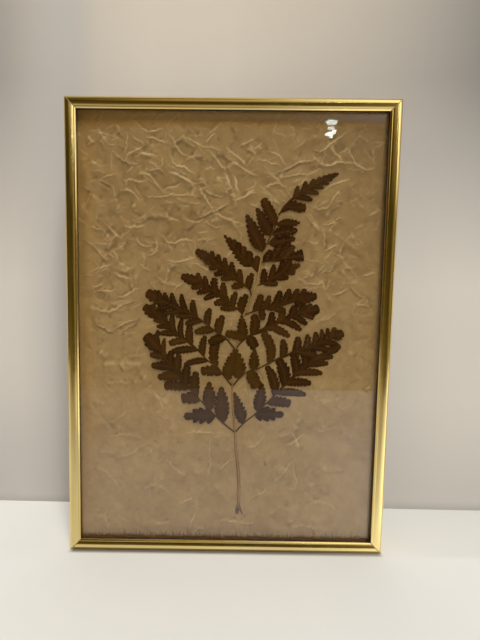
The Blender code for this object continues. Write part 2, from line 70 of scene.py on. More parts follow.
# ---- Sizes worked out from the frame ------------------------------------------------------------
WIDTH = (cad_high.x - cad_low.x) / MM
HEIGHT = (cad_high.z - cad_low.z) / MM
DEPTH = (cad_high.y - cad_low.y) / MM
FRONT_Y = cad_low.y


def node_backs(node):
    """Front and back of a node, as depths behind the ridge of the rails."""
    low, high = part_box(node)
    return (low.y - FRONT_Y) / MM, (high.y - FRONT_Y) / MM


PAPER_FRONT, PAPER_BACK = node_backs("creased_paper")
PAPER_LOW, PAPER_HIGH = [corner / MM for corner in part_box("creased_paper")]

# Rail section, counted inward from the outer wall, as in the solids
WALL = 1.2
FLANGE = 1.0
SEAM = 0.06             # each rail stops this far short of the mitre
CROWN_WIDTH = 6.1
RIDGE_AT = 2.8
OUTER_DROP = 1.7
INNER_DROP = 1.1
BEAD_WIDTH = 1.4
BEAD = [(0.12, 0.93), (0.24, 0.80), (0.38, 0.74), (0.52, 0.78), (0.66, 0.89), (0.82, 1.03),
        (0.98, 1.18), (1.14, 1.34), (1.28, 1.52), (1.37, 1.72), (1.40, 1.95)]
FACE_WIDTH = CROWN_WIDTH + BEAD_WIDTH
LIP_SHADE_BACK = 2.1         # painted shade darkens the lip from here to the glass
CHANNEL_WIDTH = 8.6
SLOT = (3.0, 5.8)
LIP_BACK = 4.2
CHANNEL_FRONT = 14.8
CROWN_STEPS = 14        # on each side of the ridge
EDGE_ROUNDING = 0.12    # radius of the section's sharp corners
ROUNDED_ABOVE = math.radians(32)
RAIL_RINGS = 70
RAIL_WAVE = 0.02        # how far the rolled metal strays from straight
END_BEVEL = 0.09
END_SOIL = 0.6          # how grimy the mitres are, fading over the length below
SOILED_END = 0.45

# ---- The frond, which follows the solids but for a few leaflets' widths -------------------------
# Stem from the cut end to the tip's base: (x, z, width)
STEM = [
    (8.7, 29.0, 2.0), (8.9, 35.0, 1.8), (8.9, 42.0, 1.8), (8.6, 49.0, 2.1), (8.1, 56.0, 1.9),
    (7.3, 62.5, 1.7), (6.5, 68.5, 1.6), (6.0, 74.0, 1.5), (5.6, 80.0, 1.35), (5.1, 86.0, 1.2),
    (4.4, 93.0, 1.3), (3.6, 102.0, 1.2), (3.1, 112.0, 1.1), (3.3, 123.0, 1.0), (4.2, 134.0, 1.0),
    (5.2, 142.0, 1.0), (7.0, 150.5, 1.1), (9.2, 160.0, 1.25), (12.7, 168.0, 1.4),
    (15.2, 176.0, 1.4), (18.0, 185.0, 1.4), (19.7, 194.0, 1.35), (21.0, 201.5, 1.3),
    (24.0, 210.0, 1.2), (27.6, 217.5, 1.1), (30.0, 224.0, 0.95), (31.0, 228.0, 0.9),
]
STIPE_HALF_DEPTH = 0.6
RACHIS_HALF_DEPTH = 0.2
FLATTENS = (70.0, 80.0)
FRAYED_STRANDS = [              # splayed fibres of the cut end: (x, z, width) top to bottom
    [(8.0, 31.0, 0.9), (7.3, 28.0, 0.8), (7.0, 24.6, 0.5)],
    [(8.4, 31.0, 0.9), (7.9, 27.8, 0.9), (7.8, 24.2, 0.5)],
    [(8.7, 31.0, 0.9), (8.6, 28.0, 0.8), (8.6, 24.3, 0.6)],
    [(9.0, 31.0, 0.9), (9.2, 28.2, 0.7), (9.1, 25.2, 0.4)],
    [(9.2, 31.0, 0.9), (9.9, 28.0, 0.8), (10.6, 25.6, 0.5)],
    [(9.4, 31.0, 0.8), (10.3, 27.6, 0.9), (11.7, 24.1, 0.6)],
]

# Side branches.  Each has its layer in the pack (1 is foremost), its midrib from the stem
# outwards as (x, z), and its leaflets as (x where it leaves the midrib, tip x, tip z, width),
# followed where they differ from a plain blade by its kind and by how much it curves.
BRANCHES = {
    "branch_left_1": (
        1, [(5, 82.8), (-3, 89.3), (-14, 99.8), (-27, 114), (-38, 127.5), (-46, 138.5),
            (-52, 147)],
        [(-8.5, -30, 93.2, 12, "lobed"), (-19.5, -31.5, 105.5, 8.6, "blunt"),
         (-26.5, -43.2, 113.8, 7.8, "blunt"), (-32.5, -47.5, 119.8, 7.4),
         (-37.5, -52, 127.8, 6.8), (-42.5, -53, 135.2, 5.4), (-46, -54, 140.4, 4.6),
         (-3.5, -4.3, 114.2, 11, "spear"), (-12.5, -12.5, 117.5, 9.6, "spear"),
         (-21.5, -21.3, 124.3, 7.8), (-28, -27.2, 128.4, 7, "blunt"), (-34, -33, 136, 7.2),
         (-38.5, -38.3, 138.5, 5.6), (-43, -42.8, 147, 3.8), (-47.5, -47.3, 152.5, 4),
         (-47, -56, 148.8, 11, "tuft")]),
    "branch_right_1": (
        3, [(5.8, 82.6), (11.5, 89), (18.5, 95), (27.5, 104), (38.5, 115.5), (48.5, 126),
            (58, 134), (68, 139.5)],
        [(19, 38.8, 95.3, 10.8, "lobed"), (27.5, 43, 102.6, 7.8, "blunt"),
         (33.5, 53.4, 109, 6.2), (40, 56.5, 117, 6.8), (46.5, 64, 123.8, 6),
         (52.5, 67.7, 130.8, 5.6), (58, 70.8, 135.2, 5), (64, 74, 140.2, 4.6),
         (11.3, 4.4, 110.5, 9, "kite"), (21.3, 23.4, 116.8, 9.6, "kite"),
         (32, 25.6, 128.5, 7.6), (38.5, 33, 134, 9.4), (46, 42.3, 138.5, 7.6),
         (52, 48.5, 141.5, 6.2), (57, 56, 141.5, 5), (66, 75.3, 143.2, 6.5, "tuft")]),
    "branch_left_2": (
        3, [(2.6, 115), (-2, 120.5), (-7, 127.2), (-14, 132), (-20.5, 138.8), (-29.5, 146.2),
            (-39, 153.5), (-48, 161.5), (-55, 167.5)],
        [(-4.5, -18.4, 124.2, 8, "blunt"), (-14, -29.8, 128.8, 5.2), (-21, -40.3, 136.5, 6),
         (-28.5, -40, 142.8, 5.6, "blunt"), (-34, -47.3, 149.8, 5), (-39.5, -48.6, 154.5, 4.2),
         (-43.5, -50.8, 158.8, 3.8), (-47, -54.3, 161.8, 3.8), (-1, 4.2, 140, 9.5, "kite"),
         (-8.5, -7.6, 146.5, 7.6, "blunt"), (-17, -15.5, 148.7, 5.8), (-25, -25.5, 157, 6.2),
         (-31.5, -31, 160.3, 4.6), (-37, -37.5, 162.5, 5.2), (-42, -43, 167, 4.8),
         (-46.5, -46.3, 169.4, 4.2), (-50, -50.2, 170, 4), (-49.5, -57.2, 168, 8.5, "tuft")]),
    "branch_right_2": (
        1, [(3.6, 115), (8.5, 121), (14, 125), (20, 126.8), (27.5, 130.8), (36, 134.8),
            (46, 139), (56, 142.8), (66, 147), (73, 150)],
        [(14.5, 20.2, 113.8, 9.2, "blunt", 0.0), (45.5, 58.5, 135.8, 5.5),
         (55, 67, 139.8, 5.5), (62, 73.5, 144, 4.4), (8, 5, 140.3, 11, "kite"),
         (17.5, 17.5, 140.6, 7.8, "kite"), (28, 22.8, 152, 7.2, "blunt"), (36, 35.8, 147, 6),
         (44.5, 46, 149, 6.2), (51.5, 52.5, 150.7, 5.2), (57, 57.8, 152.3, 4.8),
         (61, 61.8, 154.2, 4), (64.5, 65.7, 155, 4), (68, 70.5, 155.6, 5),
         (70, 76.8, 152, 8, "tuft")]),
    "branch_left_3": (
        1, [(4.2, 140.3), (-2, 147.3), (-8, 151.3), (-15.5, 157), (-22, 161.2), (-31, 165.5),
            (-40, 169.8), (-49, 174.3)],
        [(-2.5, -13.5, 143.8, 7), (-10, -23, 150.8, 6.2), (-18, -29.3, 156.3, 5.2),
         (-23, -35.5, 161.3, 4.6), (-30, -44, 163, 4.6), (-37, -48, 166.2, 4.4),
         (-43, -50.2, 170.4, 4.2), (-6.3, -3.6, 162.5, 6.8), (-13.8, -12.4, 167.2, 5.8),
         (-21.8, -24, 172.8, 5.2), (-28, -31.8, 176.7, 4.8), (-35, -38.3, 177.3, 4.6),
         (-40.5, -43, 177.5, 4.4), (-45, -47.2, 179, 4.2), (-46, -55.5, 177.4, 9, "tuft")]),
    "branch_right_3": (
        3, [(5.4, 140.5), (8.5, 144.5), (15, 149.5), (22, 152.6), (30, 157), (40, 161.3),
            (50, 165)],
        [(13.5, 18.2, 140.6, 8, "blunt", 0.0), (27, 41, 148.5, 6), (36, 48.6, 152.8, 5.6),
         (43.5, 52.2, 156.8, 5.2), (49, 56.6, 160.8, 4.4), (9.5, 8.4, 163.2, 8.5, "kite"),
         (12.3, -2.2, 150.8, 6.4, "blunt", 0.0), (16, 16.3, 163.6, 7.6), (27, 28.5, 165.4, 6),
         (34, 35.3, 167.5, 6), (40.5, 43.5, 170, 6.2), (46, 50.6, 170.6, 5.4),
         (50.5, 54.8, 170.6, 4.2), (50, 60.3, 168, 9.5, "tuft")]),
    "branch_left_4": (
        3, [(9.2, 163.4), (4.5, 167.8), (-1.5, 172.3), (-8.5, 177.3), (-16, 182),
            (-23, 185.8)],
        [(5, -6, 166.9, 5.2), (-1, -10.1, 169.9, 5.8), (-7.5, -17, 172.8, 4.8),
         (-12, -21.7, 176.8, 4.8), (-16.5, -25.5, 180.4, 5), (-20.5, -28.6, 184.2, 4.2),
         (8, 12, 176.6, 7), (3, 4.8, 178.2, 5.4), (-2, -4, 184.6, 5.6),
         (-9, -9.7, 187.4, 6, "blunt"), (-14.5, -16.4, 188.7, 4.6), (-19, -21, 190.8, 4.6),
         (-21, -32.3, 188.4, 7.4, "tuft")]),
    "branch_right_4": (
        1, [(10.8, 163.4), (17, 165.7), (25, 168), (34, 170.3), (44, 173.3), (52, 175.6)],
        [(21, 22.2, 159.8, 5.6), (27, 38, 166.2, 5, "blade", 0.0), (44, 47.5, 168.3, 5),
         (47, 51.3, 171.3, 4.4), (50, 54.5, 173.4, 4), (17, 20.8, 177, 6.8),
         (22.5, 26.6, 176.4, 5), (29.5, 33.4, 179.7, 6), (35.5, 39.5, 181, 5.6),
         (41.5, 45.2, 181, 5.8), (46.5, 50, 181, 5.4), (47.5, 58.3, 176.4, 8, "tuft")]),
    "branch_left_5": (
        1, [(14.6, 176.2), (13.2, 180), (8.5, 183.8), (3, 188), (-3, 192.2), (-10, 197.3),
            (-16, 201.5)],
        [(9.5, 1.3, 181.3, 5.4), (3, -5.9, 186.4, 5), (-2, -10.3, 189.4, 5),
         (-7, -13.8, 193.4, 4.8), (-11, -17, 197.3, 4.2), (13, 15.3, 190.8, 5.8),
         (8, 6.7, 193.6, 5), (3.5, 1.3, 198.2, 5), (-1.5, -3.3, 200.9, 4.8),
         (-6, -7.6, 203.2, 4.6), (-10, -12, 205.2, 4.6), (-12, -22.6, 205.5, 7, "tuft")]),
    "branch_right_5": (
        3, [(18.8, 182.8), (25, 185.6), (31, 189.3), (38, 193.6), (43, 195.5)],
        [(22.5, 32.2, 183.7, 5), (28.5, 39.2, 188, 5), (35, 43.6, 191.8, 5.4, "blunt"),
         (21.3, 22.3, 193.9, 5.4), (26.5, 29, 197, 5), (32, 35.4, 200.8, 5.4),
         (35, 40.2, 200.8, 5.4), (37, 46.6, 196.8, 5)]),
    "branch_left_6": (
        3, [(18.4, 191.6), (14.5, 195.8), (8.5, 200.5), (3.5, 206), (-1, 211.5)],
        [(17.5, 18.8, 202.2, 6), (13, 13.8, 205.2, 6), (9, 9.9, 208.5, 5.4),
         (5.5, 6.4, 211, 4.8), (2.5, 3.3, 212.8, 4.4), (14.5, -4.4, 215.8, 10.5, "keel")]),
    "branch_right_6": (
        1, [(20.8, 198.2), (30, 199.6), (40, 201.5), (45, 202)],
        [(23, 27, 206.3, 6, "blade", 0.1), (27.5, 33.5, 210.3, 6.6, "blade", 0.1),
         (32, 39, 211.5, 6.4, "blade", 0.1), (35.5, 42, 209.3, 5.8, "blade", 0.1),
         (38, 48.4, 203.2, 8.6, "fan")]),
    "branch_left_7": (
        1, [(21.6, 205), (18.5, 209.5), (15.3, 215), (12.6, 221)],
        [(21.2, 10.2, 229.2, 10.8, "kite")]),
    "branch_right_7": (3, [(24.5, 210.3), (32, 211), (39, 210.8)],
                       [(26, 43, 214, 9, "spear")]),
    "branch_left_8": (3, [(26.8, 215.3), (23.6, 221), (20.6, 227)],
                      [(26.6, 16.7, 233.7, 9.4, "kite")]),
    "branch_right_8": (1, [(27.5, 216.5), (34, 217.5), (40, 218)],
                       [(28.2, 44.2, 219.4, 9, "spear")]),
    "branch_left_9": (1, [(29.8, 222.5), (27.6, 228), (24.4, 233)],
                      [(29.7, 21, 239.5, 7.4, "blunt", 0.1)]),
    "branch_right_9": (
        3, [(30.2, 222.8), (36, 223.8), (41, 224)], [(30.8, 45.8, 224.2, 7, "spear")]),
    "branch_tip": (
        2, [(31.2, 228.8), (34, 233), (39, 238.5), (46, 243.5), (54, 248.5), (62, 253)],
        [(41.5, 43.2, 247.8, 4.4), (46.5, 48.2, 250.8, 4.2), (51, 53.7, 252.4, 4),
         (55, 57.7, 253.8, 3.6), (58.5, 61.2, 254.7, 3.2), (62, 64.2, 255.6, 2.8),
         (35, 49.3, 233.8, 7, "paddle"), (33, 43, 238, 5, "blade", 0.0),
         (42, 53.2, 238.6, 4.6), (47, 57.3, 243, 4), (52, 60.3, 246.6, 3.6),
         (56, 63.7, 249.2, 3.2), (60, 65.8, 251.6, 2.8), (59, 69.7, 255.9, 4)]),
}
LONG_BRANCHES = ("branch_left_1", "branch_right_1", "branch_left_2", "branch_right_2",
                 "branch_left_3")
RIB_WIDTHS = (0.95, 0.5)
WIDTH_GAINS = {"blade": 0.97, "blunt": 0.97}
LAYER_BACKS = {1: 7.2, 2: 7.5, 3: 7.8}      # middle of each leaf layer
LEAF_THICKNESS = 0.1
LEANS = {1: 0.42, -1: 0.25}     # how far a leaflet starts along the midrib, above and below it
# Kinds of leaflet: its half-width, as a share of the largest, at shares of its length, and the
# depth and spacing of its teeth as shares of its width, and whether it curves
LEAFLET_SHARES = [0.0, 0.08, 0.2, 0.35, 0.5, 0.65, 0.8, 0.9, 0.96, 1.0]
LEAFLET_KINDS = {
    "blade": ([0.45, 0.66, 0.88, 1.0, 1.0, 0.94, 0.80, 0.60, 0.42, 0.12], 0.11, 0.40, True),
    "blunt": ([0.45, 0.70, 0.92, 1.0, 1.0, 0.98, 0.92, 0.79, 0.60, 0.22], 0.12, 0.40, True),
    "spear": ([0.30, 0.60, 0.90, 1.0, 0.96, 0.82, 0.60, 0.37, 0.21, 0.03], 0.12, 0.30, False),
    "kite": ([0.22, 0.70, 0.97, 1.0, 0.90, 0.74, 0.52, 0.34, 0.20, 0.04], 0.15, 0.28, False),
    "keel": ([0.35, 0.80, 1.0, 0.97, 0.85, 0.68, 0.46, 0.28, 0.16, 0.03], 0.12, 0.28, False),
    "lobed": ([0.15, 0.65, 1.0, 1.0, 0.95, 0.82, 0.58, 0.35, 0.20, 0.03], 0.20, 0.42, False),
    "tuft": ([0.50, 0.70, 0.90, 1.0, 1.0, 0.92, 0.75, 0.55, 0.38, 0.12], 0.12, 0.34, False),
    "fan": ([0.20, 0.35, 0.50, 0.65, 0.80, 0.92, 1.0, 0.96, 0.82, 0.45], 0.12, 0.30, False),
    "paddle": ([0.25, 0.35, 0.50, 0.72, 0.90, 1.0, 1.0, 0.86, 0.62, 0.20], 0.15, 0.30, False),
}

# ---- Creases of the paper: (height, x, z, x, z, ...), read from the top left down ---------------
CREASES = [
    (0.3, -94, 278.5, -92, 276, -89.5, 273.5),
    (0.12, -91, 279.8, -84, 280.5, -76, 278, -70, 275),
    (0.22, -76, 268, -73, 265, -70, 262.3, -66, 260.5, -60, 260.8),
    (0.25, -70, 262.5, -68, 265, -64, 268.5, -60, 270.5, -56, 272.5),
    (0.28, -56, 272.3, -60, 275, -65, 278.6),
    (0.18, -68, 281.5, -67.5, 277, -68, 271, -70, 265),
    (-0.22, -64, 266.5, -58, 268.5, -53, 268.2, -47, 266.5),
    (0.28, -60, 283.5, -55, 281.3, -50, 281.6, -44, 282.8),
    (0.25, -57, 278, -50, 277, -44, 274.5, -40, 273.5),
    (0.3, -42, 279.5, -38, 277, -36.5, 272.5, -33, 268.5, -30, 265.5),
    (0.42, -35, 278.4, -30, 277.2, -25, 275, -20, 272.4, -15, 271.5, -10, 270.6, -6, 268),
    (0.28, -17, 273.8, -15, 276.5, -13, 279, -10.5, 280.2),
    (0.32, -18, 270.8, -13, 267.5, -9, 263.5, -5, 259, -3, 255),
    (0.26, -40, 266, -38, 261.5, -35.5, 259.3, -31, 259.6, -27, 256.5, -23, 254),
    (0.28, -56, 256.2, -50, 257.2, -46.5, 257.6, -42, 253),
    (0.2, -46.5, 257.6, -49.5, 260.5, -54, 262.5),
    (0.16, -46.5, 257.8, -44.5, 261, -45, 265),
    (-0.2, -42, 256.8, -36, 256.3, -31, 254, -26, 251),
    (0.32, -62, 254, -57, 255, -53.5, 253.8, -50.5, 250.8, -47.5, 246.5, -44.5, 243, -41, 241.3),
    (0.36, -88, 251, -84, 249.6, -80, 247.5, -76.5, 246),
    (0.24, -85, 250.4, -80, 253, -75.5, 254.8),
    (0.36, -71, 249.7, -67, 251, -63.5, 250.3, -59, 249.6, -54, 250.2),
    (0.36, -73, 244.5, -68, 244, -64, 242.4, -62, 239.8, -60, 237),
    (0.3, -59, 241.5, -54, 239.8, -48, 240, -41, 240.4, -38, 242, -34, 241, -28, 241.5, -22,
     240.8, -17, 239.7),
    (0.34, -41, 255.5, -35, 254, -29, 250.8, -24.5, 248.6, -20.5, 248.6),
    (0.22, -18.5, 251, -17, 248.5, -15, 246.5),
    (0.26, -18, 244.8, -13, 242, -9, 241, -4, 240.8),
    (0.22, -20.5, 248, -19.5, 243.5, -17, 239.5, -14, 235.5, -11.5, 230.5),
    (0.42, -25.5, 227, -20, 227.5, -15, 229.4, -11.5, 230.6, -8, 232.6, -4, 234.8, 0, 236.6),
    (0.44, 0, 238.4, 5, 239, 9.5, 240.8, 12.5, 243, 18, 243.4),
    (0.42, -13, 229.6, -9, 229.6, -5, 227.2, 0, 225.2, 4, 224, 8.5, 223.4),
    (0.26, -32, 226.5, -28, 224.4, -22, 223.8, -17, 226),
    (0.2, -17, 226, -14, 222.5, -9, 220.5, -4, 221),
    (0.34, -71, 220.5, -66, 220, -60, 220.6, -55, 221.6),
    (0.24, -93, 220.4, -88, 218.6, -84, 218.8),
    (0.28, -83, 223, -80, 220, -76.5, 216.5, -74, 214, -71, 212.4),
    (0.3, -102, 227, -97, 223, -93, 219.5),
    (0.32, -100, 215, -95, 211.5, -90, 207.8, -86, 203.3, -83, 199.5, -79, 198.6),
    (0.24, -63, 215, -60.5, 210.5, -57, 208, -54, 207.6, -51, 208.8),
    (0.26, -48, 217, -44, 214, -42, 211, -38, 210, -33, 212, -29, 213, -25, 211.5, -22, 208),
    (0.18, -50, 214, -48.5, 209, -48, 205, -52, 202.3, -57, 202),
    (0.32, -43, 198.6, -38, 198, -33, 197.8, -28, 199.5, -22, 201),
    (0.2, -77, 205, -75, 201.5, -73, 198.5),
    (0.26, -92, 190.8, -87, 193, -82, 194.5, -77, 196),
    (0.3, -78, 190.6, -73, 188, -69, 187, -65, 185.4),
    (0.26, -91, 176.8, -86, 178.4, -80, 177.8, -75, 179.2),
    (0.2, -91, 180, -87, 182, -84, 182.5),
    (0.34, -76, 173.8, -71, 174.3, -67, 176.5, -63, 179.5, -58, 180.5),
    (0.32, -96, 167, -88, 166, -84, 164.6, -79, 164.2, -75, 166.3, -72, 168.8, -66, 170.8, -60,
     172.6),
    (0.4, -90, 155, -86, 154.4, -82, 152.5, -77, 151),
    (0.34, -78, 153, -73, 154.8, -70, 157.2, -66, 158.3, -60, 159),
    (0.28, -73, 150, -70, 152.5, -66, 154.8, -61, 156.8),
    (0.2, -49, 187.5, -45.5, 185.8, -42, 183),
    (0.22, -37, 179.5, -33.5, 182.3, -30, 184.8),
    (0.22, -25, 198, -20, 195.3, -15, 192.6, -10, 191),
    (0.16, -60, 197, -57, 193.5, -53, 191.5, -51, 191.8),
    (0.24, 3.5, 272, 8, 274, 12, 276.3, 16, 277),
    (0.28, -5, 272, 0, 268.5, 4.5, 265.5, 8, 262.5, 11, 260),
    (0.28, 9.5, 270.6, 13, 269.6, 16, 266.8),
    (0.34, 23, 270.5, 28, 268.2, 31.5, 265.5, 33.5, 262, 36.5, 259.8),
    (0.38, 24, 254.8, 29, 256, 34, 257.6, 39, 260.3, 43, 262.6, 47, 263.5, 51.5, 263.6, 54.5,
     266.4),
    (0.3, 54.5, 266.4, 58, 270, 62, 272.8, 66, 276.4, 71, 279.6, 76, 284),
    (0.3, 54, 266, 56.5, 262.8, 60, 261.2, 65, 261.2, 69, 262.8, 78, 262.6, 86, 262),
    (0.26, 61, 273.5, 65, 270.8, 69.5, 267, 71.5, 262.5),
    (0.24, 15, 263.8, 21, 263.6, 27, 261.4, 33, 260.2),
    (0.28, -3, 261.5, 2, 262.2, 6, 259.6, 9, 257.4, 13, 255, 19, 254.6),
    (0.24, 21, 256.2, 26, 254.4, 29, 252.3, 32, 250.5),
    (0.24, 31, 253.4, 38, 253.8, 43, 255.2, 51, 255.6),
    (0.28, 19.5, 245.5, 22, 247.5, 27, 248.6, 32, 249.2, 37, 246),
    (0.24, 27, 239, 30.5, 237.4, 33, 235),
    (0.3, 60, 244.5, 64, 247.8, 69, 250, 73, 251.2, 78, 252.6),
    (0.26, 51, 236.5, 54.5, 234.2, 58, 232.8, 62, 233.4, 66, 237),
    (0.24, 64, 236, 67, 241, 69.5, 244.5, 72, 241.5),
    (0.2, 61.5, 206, 66, 208, 71, 210.4),
    (0.18, 59, 223.4, 64, 222.8, 68, 225.4, 70, 222.4),
    (0.22, 11, 236, 14.5, 235, 19, 234.2),
    (0.24, 75, 271, 78.5, 266, 81, 261.3, 86, 259, 94, 259.6),
    (-0.24, -4, 258, -1.5, 253, 0.5, 248, 3, 244.5),
    (-0.2, 2, 256, 4, 251.5, 4.5, 247, 7, 243.5),
    (0.18, 79, 184, 82.5, 180.5, 87, 176.5, 91, 175),
    (0.2, 67, 177, 72, 178, 77, 180.2, 80, 182),
    (0.16, 82, 171.8, 88, 171, 95, 169.8),
    (0.16, 44, 192, 46.5, 187, 51, 184.5, 58, 184, 63, 186),
    (0.18, 88, 189.5, 93, 191.4, 97, 192),
    (0.2, 93, 113, 97, 115),
    (0.12, -30, 80.6, -24, 82.6, -18, 82, -8, 81.4, 0, 82.4),
    (0.14, 40, 73, 45, 75.6, 49, 78.4, 54, 82.5),
    (0.14, -6, 54, -2, 58.6, 2, 62.6, 7, 64.2),
    (0.12, -10, 82, -12, 72, -11, 60, -14, 46),
    (0.12, -20, 30, -22, 22, -26, 12),
    (0.14, -12, 17.6, -2, 19.4, 9, 18, 18, 17.4, 28, 18.6),
    (0.1, -60, 18, -48, 16.6, -36, 17.6),
    (0.12, 10, 17, 12, 11, 11, 7),
    (0.1, 30, 45, 38, 52, 44, 61, 50, 66),
    (0.1, -76, 62, -66, 66, -58, 72, -50, 74),
    (0.1, -86, 86, -76, 90, -66, 98),
    (0.1, -48, 94, -43, 92, -38, 91),
    (0.12, -52, 112, -47, 106, -44, 99, -40, 96),
    (0.12, -82, 77, -72, 80, -62, 79, -55, 75),
    (0.1, -92, 58, -84, 54, -77, 47, -72, 38),
    (0.12, -44, 66, -38, 58, -30, 52, -24, 50),
    (0.1, -60, 40, -52, 44, -44, 43, -36, 36),
    (0.12, -36, 28, -28, 33, -20, 36),
    (0.12, 58, 88, 63, 84, 70, 84.5, 76, 88),
    (0.12, 47, 66, 46, 57, 49, 48, 47, 40),
    (0.1, 62, 60, 70, 55, 80, 56, 88, 61),
    (0.12, 14, 32, 19, 37, 25, 39, 30, 45),
    (0.12, 20, 96, 28, 90, 38, 87),
    (0.1, 55, 30, 63, 34, 72, 32, 80, 25),
    (0.12, -24, 9, -19, 13, -12, 14),
    (0.1, 40, 14, 52, 16, 64, 14.5, 74, 16),
    (0.1, 70, 104, 78, 100, 86, 103),
    (0.12, 12, 70, 20, 74, 27, 80),
]
CREASE_SEED = 41
CREASE_GAIN = 3.2           # on the heights above
# Spacing and height of the facets, and the share of their edges that have become creases
FACETS = ((12.0, 2.3, 0.85), (6.0, 1.4, 0.40), (3.2, 0.46, 0.0))
EDGE_MARKS = 0.62            # how strong the pale lines and painted shade of those creases are, beside the ones above
MEETING_CREASES = 3         # most of those that meet in one point
PAPER_STEPS = (0.75, 0.68, 1.05)    # spacing of its mesh across, and up above and below SMOOTH
SMOOTH = 140.0              # the paper is nearly smooth below this height
PAPER_LIFT = 0.62           # how far the crumpled sheet stands forward on the whole
RELIEF_LIMIT = 1.18         # most relief to either side of that
FACET_LIMIT = 1.0           # most of it that is facets
LOW_CRUMPLE = 0.62          # how crumpled its lower half is, beside the top
DRIFT = 0.6                 # how far its creases stray from straight
FROND_RELIEF = 0.33         # most relief under the frond, which holds the paper down
REAR_LEAN = 0.2             # the flat rear lies this much further back at the top
FROND_REACH = (0.8, 5.5)    # distances from the leaflets over which that hold fades
RAGGED_EDGE = 6.9           # height of the paper's torn lower edge
TORN_FINE = (-0.9, 1.2)     # how uneven that is: finely, between TORN_FINE_POINTS points,
TORN_FINE_POINTS = 105
TORN_SLOW = 0.3             # and slowly
TORN_SLOW_POINTS = 26
TORN_FADE = 4.0             # height over which that fades out above the edge
GROWS_LOW = 7.0             # the relief grows over these distances from the torn edge,
GROWS_TOP = (7, 17)         # from the top
GROWS_SIDE = (-1, 6)        # and from the rails
THINNEST = 0.06             # least thickness of the paper
SWELL = 0.07                # its slow undulation
HELD_LEVEL = 0.12           # under the frond the relief is at most this and HELD_SHARE of itself
HELD_SHARE = 0.4
HELD_LOWEST = -0.1
EDGE_HEIGHTS = (0.15, 0.85)     # of the facets' edges that are creases
EDGE_FULL_LENGTH = 10.0     # shorter ones are lower
EDGE_LEVEL = 0.85           # how much rarer upright ones are than level ones
EDGE_RIDGES = 0.7           # share of them that stand forward
EDGE_GROOVE = -0.7          # height of the others, beside those

# ---- Camera -------------------------------------------------------------------------------------
CAMERA_PLACE = (-0.0175, -0.3246, 0.1896)
CAMERA_YAW = math.radians(-0.33)
CAMERA_PITCH = math.radians(5.408)
CAMERA_ROLL = math.radians(0.665)
CAMERA_LENS = 27.056
CAMERA_SHIFT = 0.0625       # the frame stands right of the picture's middle
SENSOR_WIDTH = 36.0


# ---- Meshes -------------------------------------------------------------------------------------
def at(x, back, z):
    """A point in space from its place across, its depth behind the ridge and its height."""
    return (x * MM, back * MM + FRONT_Y, z * MM)


def make_object(name, points, faces, material, attributes=None, sharp_above=None):
    """A smooth mesh from points in metres, with a float attribute for each of the given rows."""
    mesh = bpy.data.meshes.new(name)
    mesh.from_pydata([tuple(point) for point in points], [], faces)
    for title, values in (attributes or {}).items():
        layer = mesh.attributes.new(title, "FLOAT", "POINT")
        layer.data.foreach_set("value", np.asarray(values, np.float32))
    mesh.materials.append(material)
    mesh.shade_smooth()
    if sharp_above is not None:
        mesh.set_sharp_from_angle(angle=sharp_above)
    item = bpy.data.objects.new(name, mesh)
    bpy.context.scene.collection.objects.link(item)
    return item


def place_piece(piece, node):
    """The piece stands for a node of the solids and rides on the one body."""
    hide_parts(node)
    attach(piece, BODY)


def loft_faces(rings, count, first=0):
    """Faces between rings of the same number of points, with the two ends closed."""
    last = first + (rings - 1) * count
    faces = [(start + side, start + following, start + count + following, start + count + side)
             for start in range(first, last, count)
             for side, following in enumerate([*range(1, count), 0])]
    return faces + [tuple(reversed(range(first, first + count))), tuple(range(last, last + count))]


def headings(curve):
    """The curve's heading at each of its points, from the ones to both sides."""
    places = [Vector(point[:2]) for point in curve]
    return [(after - before).normalized()
            for before, after in zip(places[:1] + places[:-1], places[1:] + places[-1:])]


def smooth_curve(points, steps):
    """Points of a smooth curve that runs through the given ones."""
    knots = [Vector(point) for point in points]
    knots = [2 * knots[0] - knots[1]] + knots + [2 * knots[-1] - knots[-2]]
    curve = []
    for before, start, end, after in zip(knots, knots[1:], knots[2:], knots[3:]):
        for step in range(steps):
            share = step / steps
            curve.append(0.5 * (2 * start + (end - before) * share
                                + (2 * before - 5 * start + 4 * end - after) * share ** 2
                                + (3 * start - before - 3 * end + after) * share ** 3))
    curve.append(knots[-2])
    return curve


